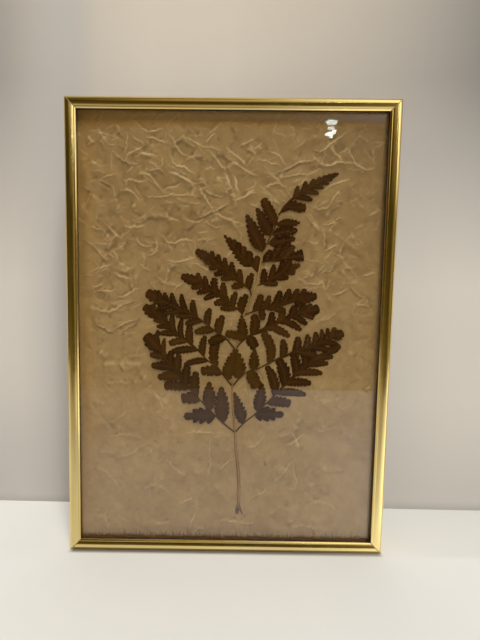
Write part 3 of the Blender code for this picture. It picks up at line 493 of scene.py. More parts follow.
# ---- Finishes -----------------------------------------------------------------------------------
class Finish:
    """A material made of nodes: its main shader, and short ways to feed that."""

    def __init__(self, name, **values):
        self.material = bpy.data.materials.new(name)
        self.material.use_nodes = True
        self.nodes = self.material.node_tree.nodes
        self.links = self.material.node_tree.links
        self.shader = self.nodes["Principled BSDF"]
        self.surface = self.nodes["Material Output"].inputs["Surface"]
        self.place = self.nodes.new("ShaderNodeTexCoord").outputs["Object"]
        self.colour = None
        self.set(**values)

    def set(self, **values):
        """Feed the main shader's inputs, here named with _ for a space."""
        for socket, value in values.items():
            self.feed(self.shader, socket.replace("_", " "), value)

    def feed(self, node, socket, value):
        if isinstance(value, bpy.types.NodeSocket):
            self.links.new(value, node.inputs[socket])
        elif isinstance(value, tuple) and node.inputs[socket].type == "RGBA":
            node.inputs[socket].default_value = (*value, 1.0)
        else:
            node.inputs[socket].default_value = value

    def node(self, kind, inputs, **settings):
        made = self.nodes.new(kind)
        for setting, value in settings.items():
            setattr(made, setting, value)
        for socket, value in inputs.items():
            self.feed(made, socket, value)
        return made

    def axes(self):
        return self.node("ShaderNodeSeparateXYZ", {"Vector": self.place}).outputs

    def noise(self, scale, detail=2.0, roughness=0.5, stretch=None, distortion=0.0):
        """Soft noise with scale features to a metre, from 0 to 1."""
        vector = self.place
        if stretch:
            vector = self.node("ShaderNodeMapping", {"Vector": vector, "Scale": stretch}).outputs[0]
        return self.node("ShaderNodeTexNoise", {
            "Vector": vector, "Scale": scale, "Detail": detail, "Roughness": roughness,
            "Distortion": distortion}).outputs[0]

    def cells(self, scale, output="Distance"):
        return self.node("ShaderNodeTexVoronoi",
                         {"Vector": self.place, "Scale": scale}).outputs[output]

    def value(self, attribute):
        return self.node("ShaderNodeAttribute", {}, attribute_name=attribute).outputs["Fac"]

    def math(self, operation, first, second=0.0):
        return self.node("ShaderNodeMath", {0: first, 1: second},
                         operation=operation).outputs[0]

    def product(self, first, second):
        return self.math("MULTIPLY", first, second)

    def total(self, first, second):
        return self.math("ADD", first, second)

    def away(self, value, centre=0.0):
        """How far the value is from the centre."""
        return self.math("ABSOLUTE", self.math("SUBTRACT", value, centre))

    def spread(self, value, low, high, at_low=0.0, at_high=1.0):
        """The value's stretch from low to high, laid on at_low to at_high."""
        return self.node("ShaderNodeMapRange", {
            "Value": value, "From Min": low, "From Max": high, "To Min": at_low,
            "To Max": at_high}, clamp=True).outputs[0]

    def blend(self, share, first, second):
        return self.node("ShaderNodeMix", {0: share, 6: first, 7: second},
                         data_type="RGBA").outputs[2]

    def tint(self, first, second, value, low=0.0, high=1.0):
        """Begin the surface's colour, with the first where the value is low."""
        self.colour = self.blend(self.spread(value, low, high), first, second)

    def coat(self, colour, value, low=0.0, high=1.0, at_high=1.0, at_low=0.0):
        """Lay a colour over what is there, at_high thick where the value is high."""
        self.colour = self.blend(self.spread(value, low, high, at_low, at_high), self.colour,
                                 colour)

    def raise_surface(self, height, distance, strength=1.0):
        """Fine relief; distance is in metres for a height from 0 to 1."""
        bump = self.node("ShaderNodeBump", {"Strength": strength, "Distance": distance,
                                            "Height": height})
        for link in self.shader.inputs["Normal"].links:
            self.feed(bump, "Normal", link.from_socket)
        self.set(Normal=bump.outputs[0])

    def clear(self, share, colour=(1.0, 1.0, 1.0)):
        """Let light straight through for a share of the rays."""
        hole = self.node("ShaderNodeBsdfTransparent", {"Color": colour})
        both = self.node("ShaderNodeMixShader", {
            0: share, 1: self.shader.outputs[0], 2: hole.outputs[0]})
        self.links.new(both.outputs[0], self.surface)

    def done(self, **values):
        self.set(Base_Color=self.colour, **values)
        return self.material


def gold_finish(name, along):
    """Polished gold on rolled metal; along is the rail's axis, 0 for X and 2 for Z."""
    made = Finish(name)
    streaks, lines = [
        made.noise(scale, detail, roughness,
                   tuple(stretch if axis == along else 1.0 for axis in range(3)))
        for scale, detail, roughness, stretch in ((2600.0, 3.0, 0.6, 0.012),
                                                  (900.0, 2.0, 0.5, 0.05))]
    smears = made.noise(120.0, 4.0, 0.6, distortion=0.6)
    specks = made.spread(made.cells(420.0), 0.0, 0.09, 1.0, 0.0)
    lip_shade_and_grime = made.value("lip_shade_and_grime")
    made.tint((0.88, 0.665, 0.25), (0.95, 0.735, 0.305), made.noise(14.0, 3.0, 0.55), 0.3, 0.7)
    made.coat((0.72, 0.52, 0.17), streaks, 0.45, 0.8, 0.35)
    made.coat((0.32, 0.2, 0.07), made.product(specks, made.spread(smears, 0.55, 0.75)),
              at_high=0.5)
    # Painted shade on the lip's inner wall, with grime at the mitres
    made.coat((0.020, 0.008, 0.002), lip_shade_and_grime)
    rough = made.total(made.spread(lines, 0.3, 0.7, 0.10, 0.17),
                       made.spread(smears, 0.45, 0.75, 0.0, 0.09))
    made.raise_surface(streaks, 0.000006, 0.6)
    made.raise_surface(lines, 0.00001, 0.5)
    return made.done(Metallic=made.spread(lip_shade_and_grime, 0.0, 1.0, 1.0, 0.0),
                     Roughness=made.total(rough, made.product(lip_shade_and_grime, 0.6)))


def glass_finish():
    """Clear glass that lets light through to the paper without bending shadows."""
    made = Finish("framing_glass", Transmission_Weight=1.0, IOR=1.5,
                  Base_Color=(0.985, 1.0, 0.99))
    wiped = made.spread(made.noise(35.0, 4.0, 0.6, distortion=1.2), 0.5, 0.8, 0.0, 0.012)
    dust = made.spread(made.cells(700.0), 0.0, 0.05, 0.01, 0.0)
    made.set(Roughness=made.total(wiped, dust))
    paths = made.node("ShaderNodeLightPath", {}).outputs
    made.clear(made.math("MAXIMUM", paths["Is Shadow Ray"], paths["Is Diffuse Ray"]),
               (0.93, 0.95, 0.93))
    return made.material


def paper_finish():
    """Brown handmade paper: mottled and fibrous, pale along its creases with wear and painted
    highlight, with painted shade and painted warm light in places.
    """
    made = Finish("creased_brown_paper")
    x, _, height = made.axes()
    mottle = made.noise(160.0, 5.0, 0.65)
    patches = made.noise(75.0, 5.0, 0.7, distortion=1.2)
    pulp = made.noise(900.0, 4.0, 0.6)
    strands = made.math("MAXIMUM", *[
        made.spread(made.noise(1500.0, 2.0, 0.5, stretch, 1.5), 0.66, 0.8)
        for stretch in ((1.0, 1.0, 0.12), (0.12, 1.0, 1.0))])
    made.tint((0.285, 0.16, 0.059), (0.37, 0.224, 0.090),
              made.noise(22.0, 4.0, 0.6, distortion=0.5), 0.38, 0.62)
    made.coat((0.25, 0.143, 0.054), mottle, 0.40, 0.60, 0.6)
    made.coat((0.385, 0.237, 0.098), patches, 0.42, 0.62, 0.5)
    made.coat((0.25, 0.145, 0.056), pulp, 0.45, 0.75, 0.35)
    made.coat((0.44, 0.31, 0.165), strands, at_high=0.3)
    # Painted shade: the paper darker towards its top
    made.coat((0.2, 0.108, 0.034), height, 0.1, 0.3, 0.46)
    # Painted shade towards the paper's upper right corner
    corner = made.product(made.spread(height, 0.2, 0.28), made.spread(x, 0.02, 0.09))
    made.coat((0.16, 0.088, 0.032), corner, at_high=0.55)
    # Pale crest lines: part wear, part painted highlight
    mark_strength = made.product(made.spread(made.value("crest"), 0.06, 0.72),
                        made.spread(patches, 0.38, 0.58, 0.45, 1.0))
    made.coat((0.61, 0.43, 0.232), mark_strength, at_high=0.88)
    # Painted shade in the grooves and on the lower side of the creases
    made.coat((0.15, 0.085, 0.03), made.value("valley"), 0.1, 0.9, 0.52)
    # Painted warm light from the gold rail along the paper's left edge
    made.coat((0.36, 0.185, 0.045), x, -0.098, -0.086, 0.0, 0.5)
    # Painted warm light from the gold rail in the top rail's shadow
    made.coat((0.34, 0.155, 0.015), height, 0.283, 0.2875, 0.6)
    # Painted shade along the paper's torn lower edge
    tufts = made.spread(made.noise(700.0, 3.0, 0.6, (1.0, 1.0, 0.2)), 0.0, 1.0, -0.009, 0.009)
    torn = made.spread(made.total(height, tufts), 0.0075, 0.0098, 0.9, 0.0)
    made.coat((0.14, 0.058, 0.014), made.product(torn, made.spread(pulp, 0.35, 0.6, 0.4, 1.0)))
    made.raise_surface(pulp, 0.00005, 0.5)
    made.raise_surface(mottle, 0.0002, 0.6)
    return made.done(Roughness=made.spread(mottle, 0.3, 0.7, 0.6, 0.75))


def leaf_finish():
    """Dry brown leaf: olive amid the frond, redder outwards, with painted shade at its rim and pale
    veins.
    """
    made = Finish("dry_fern_leaf", Specular_IOR_Level=0.04)
    tone = made.value("tone")
    x, _, height = made.axes()
    from_middle = made.total(made.away(x, 0.006), made.product(made.away(height, 0.145), 0.55))
    patches = made.noise(110.0, 4.0, 0.6, distortion=0.4)
    grain = made.noise(1100.0, 4.0, 0.65)
    made.tint(made.blend(tone, (0.036, 0.0120, 0.0003), (0.074, 0.030, 0.0010)),
              made.blend(tone, (0.026, 0.0062, 0.0003), (0.066, 0.0225, 0.0030)),
              from_middle, 0.010, 0.045)
    made.coat((0.060, 0.027, 0.0115), made.noise(38.0, 2.0, 0.5), 0.56, 0.72, 0.6)
    made.coat((0.034, 0.0085, 0.0006), patches, 0.35, 0.7, 0.5)
    made.coat((0.015, 0.004, 0.0003), grain, 0.4, 0.75, 0.4)
    made.coat((0.085, 0.036, 0.007), made.value("vein"), 0.2, 1.0, 0.4)
    # Painted shade along the leaflets' rims
    made.coat((0.009, 0.0022, 0.0002), made.value("rim"), 0.1, 1.0, 0.85)
    spots = made.spread(made.cells(620.0), 0.16, 0.3, 1.0, 0.0)
    made.coat((0.16, 0.075, 0.05), made.product(spots, made.value("spore")), at_high=0.6)
    made.raise_surface(grain, 0.00004, 0.6)
    made.raise_surface(made.noise(330.0, 3.0, 0.55), 0.00012, 0.5)
    return made.done(Roughness=made.spread(patches, 0.3, 0.7, 0.55, 0.75))


def stem_finish():
    """Dry stalk: ribbed along its length, straw-coloured amid the frond, dark at its top, with
    painted shade along its sides.
    """
    made = Finish("dry_fern_stem", Specular_IOR_Level=0.1)
    height = made.axes()["Z"]
    lines = made.noise(1700.0, 3.0, 0.55, (1.0, 1.0, 0.08))
    patches = made.noise(70.0, 4.0, 0.6)
    made.tint((0.29, 0.142, 0.040), (0.40, 0.212, 0.066), patches, 0.3, 0.7)
    made.coat((0.09, 0.037, 0.008), height, 0.028, 0.034, 0.0, 0.75)
    made.coat(made.blend(made.spread(patches, 0.3, 0.7), (0.30, 0.165, 0.045),
                         (0.42, 0.25, 0.085)), height, 0.148, 0.168)
    made.coat((0.058, 0.02, 0.003), height, 0.207, 0.213, 0.9)
    made.coat((0.06, 0.032, 0.012), lines, 0.45, 0.75, 0.6)
    # Painted contact shadow along the stalk's sides
    made.coat((0.026, 0.010, 0.003), made.value("rim"), 0.1, 0.7, 0.85)
    made.raise_surface(lines, 0.00008, 0.7)
    return made.done(Roughness=made.spread(lines, 0.3, 0.7, 0.55, 0.75))


def hardboard_finish():
    """Pressed fibre board with the print of the wire screen that it was pressed on."""
    made = Finish("pressed_hardboard")
    fibres = made.noise(420.0, 6.0, 0.7, distortion=1.5)
    shreds = made.noise(1300.0, 3.0, 0.6, (0.25, 1.0, 1.0), 2.0)
    made.tint((0.15, 0.075, 0.033), (0.22, 0.12, 0.055), made.noise(18.0, 3.0, 0.6), 0.3, 0.7)
    made.coat((0.1, 0.047, 0.02), fibres, 0.4, 0.7, 0.6)
    made.coat((0.36, 0.22, 0.11), shreds, 0.6, 0.78, 0.6)
    screen = [made.node("ShaderNodeTexWave", {
        "Vector": made.place, "Scale": 190.0, "Distortion": 0.4, "Detail": 1.0},
        wave_type="BANDS", bands_direction=direction).outputs["Fac"] for direction in "XZ"]
    made.raise_surface(made.product(*screen), 0.00018, 0.7)
    made.raise_surface(fibres, 0.00012, 0.5)
    return made.done(Roughness=made.spread(fibres, 0.3, 0.7, 0.7, 0.9))


def zinc_finish():
    """Bright zinc plate with its crystal blotches and a few scratches."""
    made = Finish("zinc_plate", Metallic=1.0)
    crystals = made.cells(260.0, "Color")
    tints = made.node("ShaderNodeSeparateColor", {"Color": crystals}).outputs[0]
    clouds = made.noise(90.0, 4.0, 0.6)
    scratches = made.noise(2400.0, 2.0, 0.5, (0.03, 1.0, 1.0))
    made.tint((0.45, 0.47, 0.50), (0.62, 0.63, 0.65), tints)
    made.coat((0.50, 0.49, 0.44), clouds, 0.5, 0.75, 0.5)
    made.coat((0.75, 0.76, 0.78), scratches, 0.64, 0.74, 0.4)
    made.raise_surface(clouds, 0.00002, 0.5)
    return made.done(Roughness=made.total(made.spread(tints, 0.0, 1.0, 0.28, 0.42),
                                          made.spread(clouds, 0.4, 0.8, 0.0, 0.12)))


def spring_finish():
    """Blued spring steel with heat tints and lengthwise rolling lines."""
    made = Finish("blued_spring_steel", Metallic=1.0)
    lines = made.noise(1800.0, 2.0, 0.5, (0.04, 1.0, 0.04))
    made.tint((0.16, 0.19, 0.26), (0.30, 0.29, 0.30), made.noise(60.0, 4.0, 0.6), 0.3, 0.7)
    made.coat((0.42, 0.41, 0.40), lines, 0.55, 0.8, 0.5)
    made.raise_surface(lines, 0.00001, 0.5)
    return made.done(Roughness=made.spread(lines, 0.3, 0.7, 0.24, 0.4))


def dark_steel_finish():
    """Black oxide on screws, rubbed bright in places."""
    made = Finish("black_oxide_steel", Metallic=1.0)
    wear = made.spread(made.noise(800.0, 4.0, 0.6), 0.52, 0.72)
    made.colour = made.blend(made.product(wear, 0.6), (0.045, 0.045, 0.05), (0.32, 0.31, 0.30))
    made.raise_surface(made.noise(3000.0), 0.00001, 0.6)
    return made.done(Roughness=made.spread(wear, 0.0, 1.0, 0.45, 0.3))


# ---- Rails --------------------------------------------------------------------------------------
def crown_back(inward):
    """Depth of the rounded band of the rail's face below its ridge."""
    if inward < RIDGE_AT:
        return OUTER_DROP * ((RIDGE_AT - inward) / RIDGE_AT) ** 2
    return INNER_DROP * ((inward - RIDGE_AT) / (CROWN_WIDTH - RIDGE_AT)) ** 2


def neighbours(outline):
    """Each point of a closed outline, between the one before it and the one after it."""
    points = [Vector(point) for point in outline]
    return zip(points[-1:] + points[:-1], points, points[1:] + points[:1])


def rounded(outline, radius):
    """The outline with its sharp corners turned into short arcs."""
    made = []
    for last, corner, following in neighbours(outline):
        before, after = last - corner, following - corner
        turn = math.pi - before.angle(after)
        if turn < ROUNDED_ABOVE:
            made.append(tuple(corner))
            continue
        reach = min(radius * math.tan(turn / 2), before.length * 0.45, after.length * 0.45)
        start = corner + before.normalized() * reach
        end = corner + after.normalized() * reach
        for share in (0.0, 0.3, 0.7, 1.0):
            made.append(tuple((1 - share) ** 2 * start + 2 * share * (1 - share) * corner
                              + share ** 2 * end))
    return made


def rail_section():
    """The rail's outline as (inward, back), round the face, the rabbet and the rear channel."""
    inner_width = CROWN_WIDTH - RIDGE_AT
    stops = [RIDGE_AT * step / CROWN_STEPS for step in range(CROWN_STEPS)]
    stops += [RIDGE_AT + inner_width * step / CROWN_STEPS for step in range(CROWN_STEPS + 1)]
    outline = [(inward, crown_back(inward)) for inward in stops]
    outline += [(CROWN_WIDTH + inward, back) for inward, back in BEAD]
    outline += [
        (FACE_WIDTH, LIP_SHADE_BACK), (FACE_WIDTH, LIP_BACK), (WALL, LIP_BACK),
        (WALL, CHANNEL_FRONT), (CHANNEL_WIDTH, CHANNEL_FRONT), (CHANNEL_WIDTH, DEPTH),
        (SLOT[1], DEPTH), (SLOT[1], DEPTH - FLANGE),
        (CHANNEL_WIDTH - FLANGE, DEPTH - FLANGE),
        (CHANNEL_WIDTH - FLANGE, CHANNEL_FRONT + FLANGE), (WALL, CHANNEL_FRONT + FLANGE),
        (WALL, DEPTH - FLANGE), (SLOT[0], DEPTH - FLANGE), (SLOT[0], DEPTH), (0, DEPTH),
    ]
    return rounded(outline, EDGE_ROUNDING)


def shrunk(outline, distance):
    """The outline moved into the metal by a distance."""
    made = []
    for before, point, after in neighbours(outline):
        run = (after - before).normalized()
        made.append((point.x - run.y * distance, point.y + run.x * distance))
    return made


def on_rail(rail, along, inward, back):
    """A point from its place along a rail (0 at the middle), inward from it and back."""
    if rail == "rail_bottom":
        return at(along, back, inward)
    if rail == "rail_top":
        return at(along, back, HEIGHT - inward)
    side = -1 if rail == "rail_left" else 1
    return at(side * (WIDTH / 2 - inward), back, HEIGHT / 2 + along)


def add_rail(rail, length, material, phase):
    section = rail_section()
    area = sum(a[0] * b[1] - b[0] * a[1] for a, b in zip(section, section[1:] + section[:1]))
    into_metal = 1 if area > 0 else -1
    bevelled = shrunk(section, END_BEVEL * into_metal)
    end = [(0.0, bevelled, END_SOIL), (END_BEVEL, section, END_SOIL), (SOILED_END, section, 0.0)]
    rings = [(-1.0, *ring) for ring in end]
    rings += [(2 * step / RAIL_RINGS - 1, 0.0, section, 0.0) for step in range(1, RAIL_RINGS)]
    rings += [(1.0, *ring) for ring in reversed(end)]
    points = []
    lip_shade_and_grime = []
    for share, inset, outline, grime in rings:
        wave = 0.5 + 0.5 * math.sin(5.1 * share + phase) * math.cos(11.3 * share - phase)
        wave *= RAIL_WAVE * (1 - share ** 2)
        for inward, back in outline:
            reach = length / 2 - inward - SEAM - inset
            shallow = 1 - back / DEPTH
            points.append(on_rail(rail, share * reach, inward + wave, back + wave * shallow))
            # The lip's inner wall takes painted shade; the mitres take grime
            lip_shaded = inward > FACE_WIDTH - 0.3 and LIP_SHADE_BACK - 0.02 < back < LIP_BACK + 0.1
            lip_shade_and_grime.append(1.0 if lip_shaded else grime)
    faces = loft_faces(len(rings), len(section))
    piece = make_object(rail + "_section", points, faces, material, {"lip_shade_and_grime": lip_shade_and_grime},
                        sharp_above=math.radians(40))
    fix_normals(piece)
    place_piece(piece, rail)


def fix_normals(piece):
    """Turn the faces outwards."""
    shape = bmesh.new()
    shape.from_mesh(piece.data)
    bmesh.ops.recalc_face_normals(shape, faces=shape.faces)
    shape.to_mesh(piece.data)
    shape.free()


# ---- The paper's relief -------------------------------------------------------------------------
CREASE_REACH = 4.5              # how far a crease reaches to each side, in its widths
CREASE_TAPER = 0.3              # share of its length over which each end fades
MARK_WIDTH = 0.33               # half-width of its pale line, part wear and part painted highlight
SHADE_AT = 1.1                  # distance and half-width of the shade beside it
SHADE_WIDTH = 0.6
CRUMPLED_HEIGHTS = (125, 215)   # the crumpling grows to its full between these
CALM_RIGHT = (62, 92)           # and is less by CALMER towards the right and the foot
CALM_FOOT = (130, 85)
CALMER = 0.35


def window(xs, zs, points, reach=0.0):
    """The part of the grid within reach of some points, with its x and z."""
    columns, rows = [slice(np.searchsorted(grid, min(point[axis] for point in points) - reach),
                           np.searchsorted(grid, max(point[axis] for point in points) + reach))
                     for axis, grid in enumerate((xs, zs))]
    return (rows, columns), *np.meshgrid(xs[columns], zs[rows])


def from_segment(x, z, start, end):
    """Each place's foot on a segment, as a share of it, and the offsets from that foot."""
    run = end - start
    share = np.clip(((x - start.x) * run.x + (z - start.y) * run.y)
                    / max(run.length, 1e-6) ** 2, 0, 1)
    return share, x - start.x - share * run.x, z - start.y - share * run.y


def soft_step(value, low, high):
    """0 up to low and 1 from high on, also where high is the smaller."""
    share = np.clip((value - low) / (high - low), 0, 1)
    return share * share * (3 - 2 * share)


def scatter(xs, zs, spacing, draw):
    """Triangles between points scattered over the sheet: places, edges and cells."""
    columns, rows = [int((grid[-1] - grid[0]) / spacing) + 3 for grid in (xs, zs)]
    corners = [Vector([grid[0] + (step - 1 + draw.uniform(-0.42, 0.42)) * spacing
                       for grid, step in ((xs, column), (zs, row))])
               for row in range(rows + 1) for column in range(columns + 1)]
    return delaunay_2d_cdt(corners, [], [], 0, 1e-5, True)[:3]


def facet_field(xs, zs, places, cells, levels):
    """Flat facets between the places, which stand at the given levels, on a grid."""
    field = np.zeros((len(zs), len(xs)))
    for cell in cells:
        a, b, c = [places[index] for index in cell]
        part, x, z = window(xs, zs, (a, b, c))
        area = (b.x - a.x) * (c.y - a.y) - (c.x - a.x) * (b.y - a.y)
        share_b = ((x - a.x) * (c.y - a.y) - (c.x - a.x) * (z - a.y)) / area
        share_c = ((b.x - a.x) * (z - a.y) - (x - a.x) * (b.y - a.y)) / area
        shares = (1 - share_b - share_c, share_b, share_c)
        inside = np.all([share >= 0 for share in shares], axis=0)
        level = sum(share * levels[index] for share, index in zip(shares, cell))
        field[part][inside] = level[inside]
    return field


def sample(field, xs, zs, x, z):
    """The field at any places, from the grid points around them."""
    column = np.clip(np.interp(x, xs, np.arange(len(xs))), 0, len(xs) - 1.001)
    row = np.clip(np.interp(z, zs, np.arange(len(zs))), 0, len(zs) - 1.001)
    left = np.floor(column).astype(int)
    low = np.floor(row).astype(int)
    right_share = column - left
    high_share = row - low
    below, above = [field[level, left] * (1 - right_share) + field[level, left + 1] * right_share
                    for level in (low, low + 1)]
    return below * (1 - high_share) + above * high_share


def wave_field(x, z, waves, lengths, draw):
    """Slow undulation, the mean of crossing waves."""
    total = np.zeros_like(x)
    for _ in range(waves):
        length = draw.uniform(*lengths)
        turn = draw.uniform(0, math.pi)
        total += np.sin((x * math.cos(turn) + z * math.sin(turn)) * 2 * math.pi / length
                        + draw.uniform(0, 6.28))
    return total / math.sqrt(waves)


def jagged(points, draw, step=1.6, shake=0.32):
    """A crease's line with small kinks along it."""
    line = [points[0]]
    for start, end in zip(points, points[1:]):
        pieces = max(1, round((end - start).length / step))
        across = Vector((start.y - end.y, end.x - start.x)).normalized()
        for piece in range(1, pieces + 1):
            offset = draw.normal() * shake if piece < pieces else 0.0
            line.append(start.lerp(end, piece / pieces) + across * offset)
    return line


def press_crease(xs, zs, relief, marks, height, line, widths, wear=1.0):
    """Raise a ridge, or sink a groove for a height under 0, along a line, with a pale line along it
    (part wear, part painted highlight) and painted shade beside it, as strong as wear.
    """
    part, x, z = window(xs, zs, line, max(widths) * CREASE_REACH)
    nearest = np.full(x.shape, np.inf)
    side = np.zeros(x.shape)
    reached = np.zeros(x.shape)
    passed = 0.0
    for start, end in zip(line, line[1:]):
        run = end - start
        share, off_x, off_z = from_segment(x, z, start, end)
        distance = np.hypot(off_x, off_z)
        closer = distance < nearest
        nearest = np.where(closer, distance, nearest)
        side = np.where(closer, np.sign(run.x * off_z - run.y * off_x), side)
        reached = np.where(closer, passed + share * run.length, reached)
        passed += run.length
    from_end = np.minimum(reached, passed - reached) / passed
    taper = np.clip(from_end / CREASE_TAPER, 0.0, 1.0) ** 0.7
    fall = np.where(side > 0, *widths)
    relief[part] += height * np.clip(1 - nearest / (2.4 * fall), 0, 1) ** 1.25 * taper
    mark_strength = wear * min(abs(height) / 0.6, 1.0) * taper
    line_share = np.exp(-(nearest / MARK_WIDTH) ** 2) * mark_strength
    shade_share = np.exp(-((nearest - SHADE_AT) / SHADE_WIDTH) ** 2) * (side < 0) * mark_strength
    bright, dark = marks if height > 0 else marks[::-1]
    bright[part] = np.maximum(bright[part], line_share)
    dark[part] = np.maximum(dark[part], shade_share)


def crease_widths(draw):
    """Most creases have their steep side above."""
    steep, wide = draw.uniform(0.45, 0.8), draw.uniform(2.0, 3.4)
    return (steep, wide) if draw.random() < 0.75 else (wide, steep)


def paper_relief(xs, zs):
    """How far the paper stands forward at each grid point, and its crest and groove lines."""
    draw = np.random.default_rng(CREASE_SEED)
    x, z = np.meshgrid(xs, zs)
    crumple = LOW_CRUMPLE + (1 - LOW_CRUMPLE) * soft_step(z, *CRUMPLED_HEIGHTS)
    crumple *= 1 - CALMER * soft_step(x, *CALM_RIGHT)
    crumple *= 1 - CALMER * soft_step(z, *CALM_FOOT)
    drift_x = DRIFT * wave_field(x, z, 6, (14, 36), draw)
    drift_z = DRIFT * wave_field(x, z, 6, (14, 36), draw)
    relief = SWELL * wave_field(x, z, 8, (30, 90), draw)
    marks = (np.zeros_like(x), np.zeros_like(x))
    network = []
    for spacing, height, share in FACETS:
        places, edges, cells = scatter(xs, zs, spacing, draw)
        levels = draw.uniform(-1, 1, len(places))
        facets = facet_field(xs, zs, places, cells, levels)
        relief += height * crumple * sample(facets, xs, zs, x + drift_x, z + drift_z)
        network += [(places[start], places[end], share) for start, end in edges if share]
    relief = FACET_LIMIT * np.tanh(relief / FACET_LIMIT)
    meeting = {}
    for start, end, share in network:
        middle = (start + end) / 2
        strength = float(sample(crumple, xs, zs, middle.x, middle.y))
        level_share = abs((end - start).normalized().x)
        likely = 1 - EDGE_LEVEL * (1 - level_share ** 2)
        if draw.random() > share * strength ** 0.5 * likely:
            continue
        corners = [tuple(start), tuple(end)]
        if max(meeting.get(corner, 0) for corner in corners) >= MEETING_CREASES:
            continue
        for corner in corners:
            meeting[corner] = meeting.get(corner, 0) + 1
        if end.x < start.x:
            start, end = end, start
        height = draw.uniform(*EDGE_HEIGHTS) * strength
        height *= 1 if draw.random() < EDGE_RIDGES else EDGE_GROOVE
        height *= min(1.0, (end - start).length / EDGE_FULL_LENGTH)
        line = [point - Vector([float(sample(drift, xs, zs, *point))
                                for drift in (drift_x, drift_z)])
                for point in jagged([start, end], draw, 1.8, 0.3)]
        press_crease(xs, zs, relief, marks, height, line, crease_widths(draw), EDGE_MARKS)
    for height, *places in CREASES:
        points = [Vector(place) for place in zip(places[::2], places[1::2])]
        if points[0].x >= points[-1].x:
            points.reverse()
        press_crease(xs, zs, relief, marks, height * CREASE_GAIN, jagged(points, draw),
                     crease_widths(draw))
    lift = PAPER_LIFT * soft_step(z, 20, 120)
    return lift + RELIEF_LIMIT * np.tanh(relief / RELIEF_LIMIT), marks


def frond_hold(xs, zs):
    """How firmly the frond holds the paper down, from 0 far from it to 1 under it."""
    lines = []
    for _, midrib, leaflets in BRANCHES.values():
        curve = smooth_curve(midrib, 4)
        for leave_x, tip_x, tip_z, width, *_ in leaflets:
            base = on_midrib(curve, leave_x)[0]
            lines.append((base, Vector((tip_x, tip_z)), width / 2))
        lines += [(start, end, 0.4) for start, end in zip(curve, curve[1:])]
    for start, end in zip(STEM, STEM[1:]):
        lines.append((Vector(start[:2]), Vector(end[:2]), start[2] / 2))
    nearest = np.full((len(zs), len(xs)), 1e3)
    for start, end, half in lines:
        part, x, z = window(xs, zs, (start, end), half + FROND_REACH[1])
        _, off_x, off_z = from_segment(x, z, start, end)
        nearest[part] = np.minimum(nearest[part], np.hypot(off_x, off_z) - half)
    return 1 - soft_step(nearest, *FROND_REACH)


def crest_and_valley(relief, marks):
    """Pale crests, part wear and part painted highlight, and painted shade in the grooves, from the
    creases' marks and the relief's bends.
    """
    around = sum(np.roll(relief, shift, axis) for shift in (-2, 2) for axis in (0, 1)) / 4
    bend = relief - around
    bend[:2] = bend[-2:] = 0
    bend[:, :2] = bend[:, -2:] = 0
    crest = np.maximum(0.8 * marks[0], 0.5 * np.clip((bend - 0.06) / 0.25, 0, 1))
    valley = np.maximum(0.7 * marks[1], np.clip((-bend - 0.05) / 0.20, 0, 1))
    return crest, valley


def settled_relief(xs, zs):
    """The relief where the frond, the rails and the torn edge hold it down, and its marks."""
    relief, marks = paper_relief(xs, zs)
    hold = frond_hold(xs, zs)
    held = np.minimum(relief, HELD_LEVEL + HELD_SHARE * relief)
    relief = relief * (1 - hold) + np.clip(held, HELD_LOWEST, FROND_RELIEF) * hold
    crest, valley = crest_and_valley(relief, marks)
    x, z = np.meshgrid(xs, zs)
    relief *= np.clip((z - RAGGED_EDGE) / GROWS_LOW, 0, 1)
    relief *= soft_step(PAPER_HIGH.z - z, *GROWS_TOP)
    relief *= soft_step(WIDTH / 2 - FACE_WIDTH - np.abs(x), *GROWS_SIDE)
    return relief, {"crest": crest, "valley": valley}


def add_paper(material):
    low = RAGGED_EDGE
    step_across, step_above, step_below = PAPER_STEPS
    xs = np.linspace(PAPER_LOW.x, PAPER_HIGH.x, int((PAPER_HIGH.x - PAPER_LOW.x) / step_across))
    zs = np.concatenate([
        np.linspace(low, SMOOTH, int((SMOOTH - low) / step_below), endpoint=False),
        np.linspace(SMOOTH, PAPER_HIGH.z, int((PAPER_HIGH.z - SMOOTH) / step_above))])
    relief, marks = settled_relief(xs, zs)
    x, z = np.meshgrid(xs, zs)
    rear_back = PAPER_BACK + REAR_LEAN * (z - low) / (PAPER_HIGH.z - low)
    back = np.minimum(PAPER_FRONT - relief, rear_back - THINNEST)

    draw = np.random.default_rng(CREASE_SEED + 1)
    torn = np.zeros(len(xs))
    for levels in (draw.uniform(*TORN_FINE, TORN_FINE_POINTS),
                   draw.normal(0, TORN_SLOW, TORN_SLOW_POINTS)):
        torn += np.interp(xs, np.linspace(xs[0], xs[-1], len(levels)), levels)
    z = z + torn[None, :] * np.clip(1 - (z - low) / TORN_FADE, 0, 1)

    front = np.stack([x, back, z], -1).reshape(-1, 3)
    index = np.arange(x.size).reshape(x.shape)
    border = np.concatenate([index[0, :-1], index[:-1, -1], index[-1, :0:-1], index[:0:-1, 0]])
    rear = front[border].copy()
    rear[:, 1] = rear_back.reshape(-1)[border]
    points = np.concatenate([front, rear]) * MM
    points[:, 1] += FRONT_Y
    quads = np.stack([index[:-1, :-1], index[:-1, 1:], index[1:, 1:], index[1:, :-1]], -1)
    behind = x.size + np.arange(len(border))
    walls = np.stack([np.roll(border, -1), border, behind, np.roll(behind, -1)], -1)
    faces = np.concatenate([quads.reshape(-1, 4), walls]).tolist()
    faces.append(behind[::-1].tolist())
    attributes = {title: np.concatenate([values.ravel(), values.ravel()[border]])
                  for title, values in marks.items()}
    piece = make_object("creased_paper_relief", points, faces, material, attributes,
                        sharp_above=math.radians(60))
    place_piece(piece, "creased_paper")


# ---- The frond ----------------------------------------------------------------------------------
FRONT_COLUMNS = (-1.0, -0.86, -0.6, -0.3, 0.0, 0.3, 0.6, 0.86, 1.0)
REAR_COLUMNS = (0.9, 0.3, -0.3, -0.9)
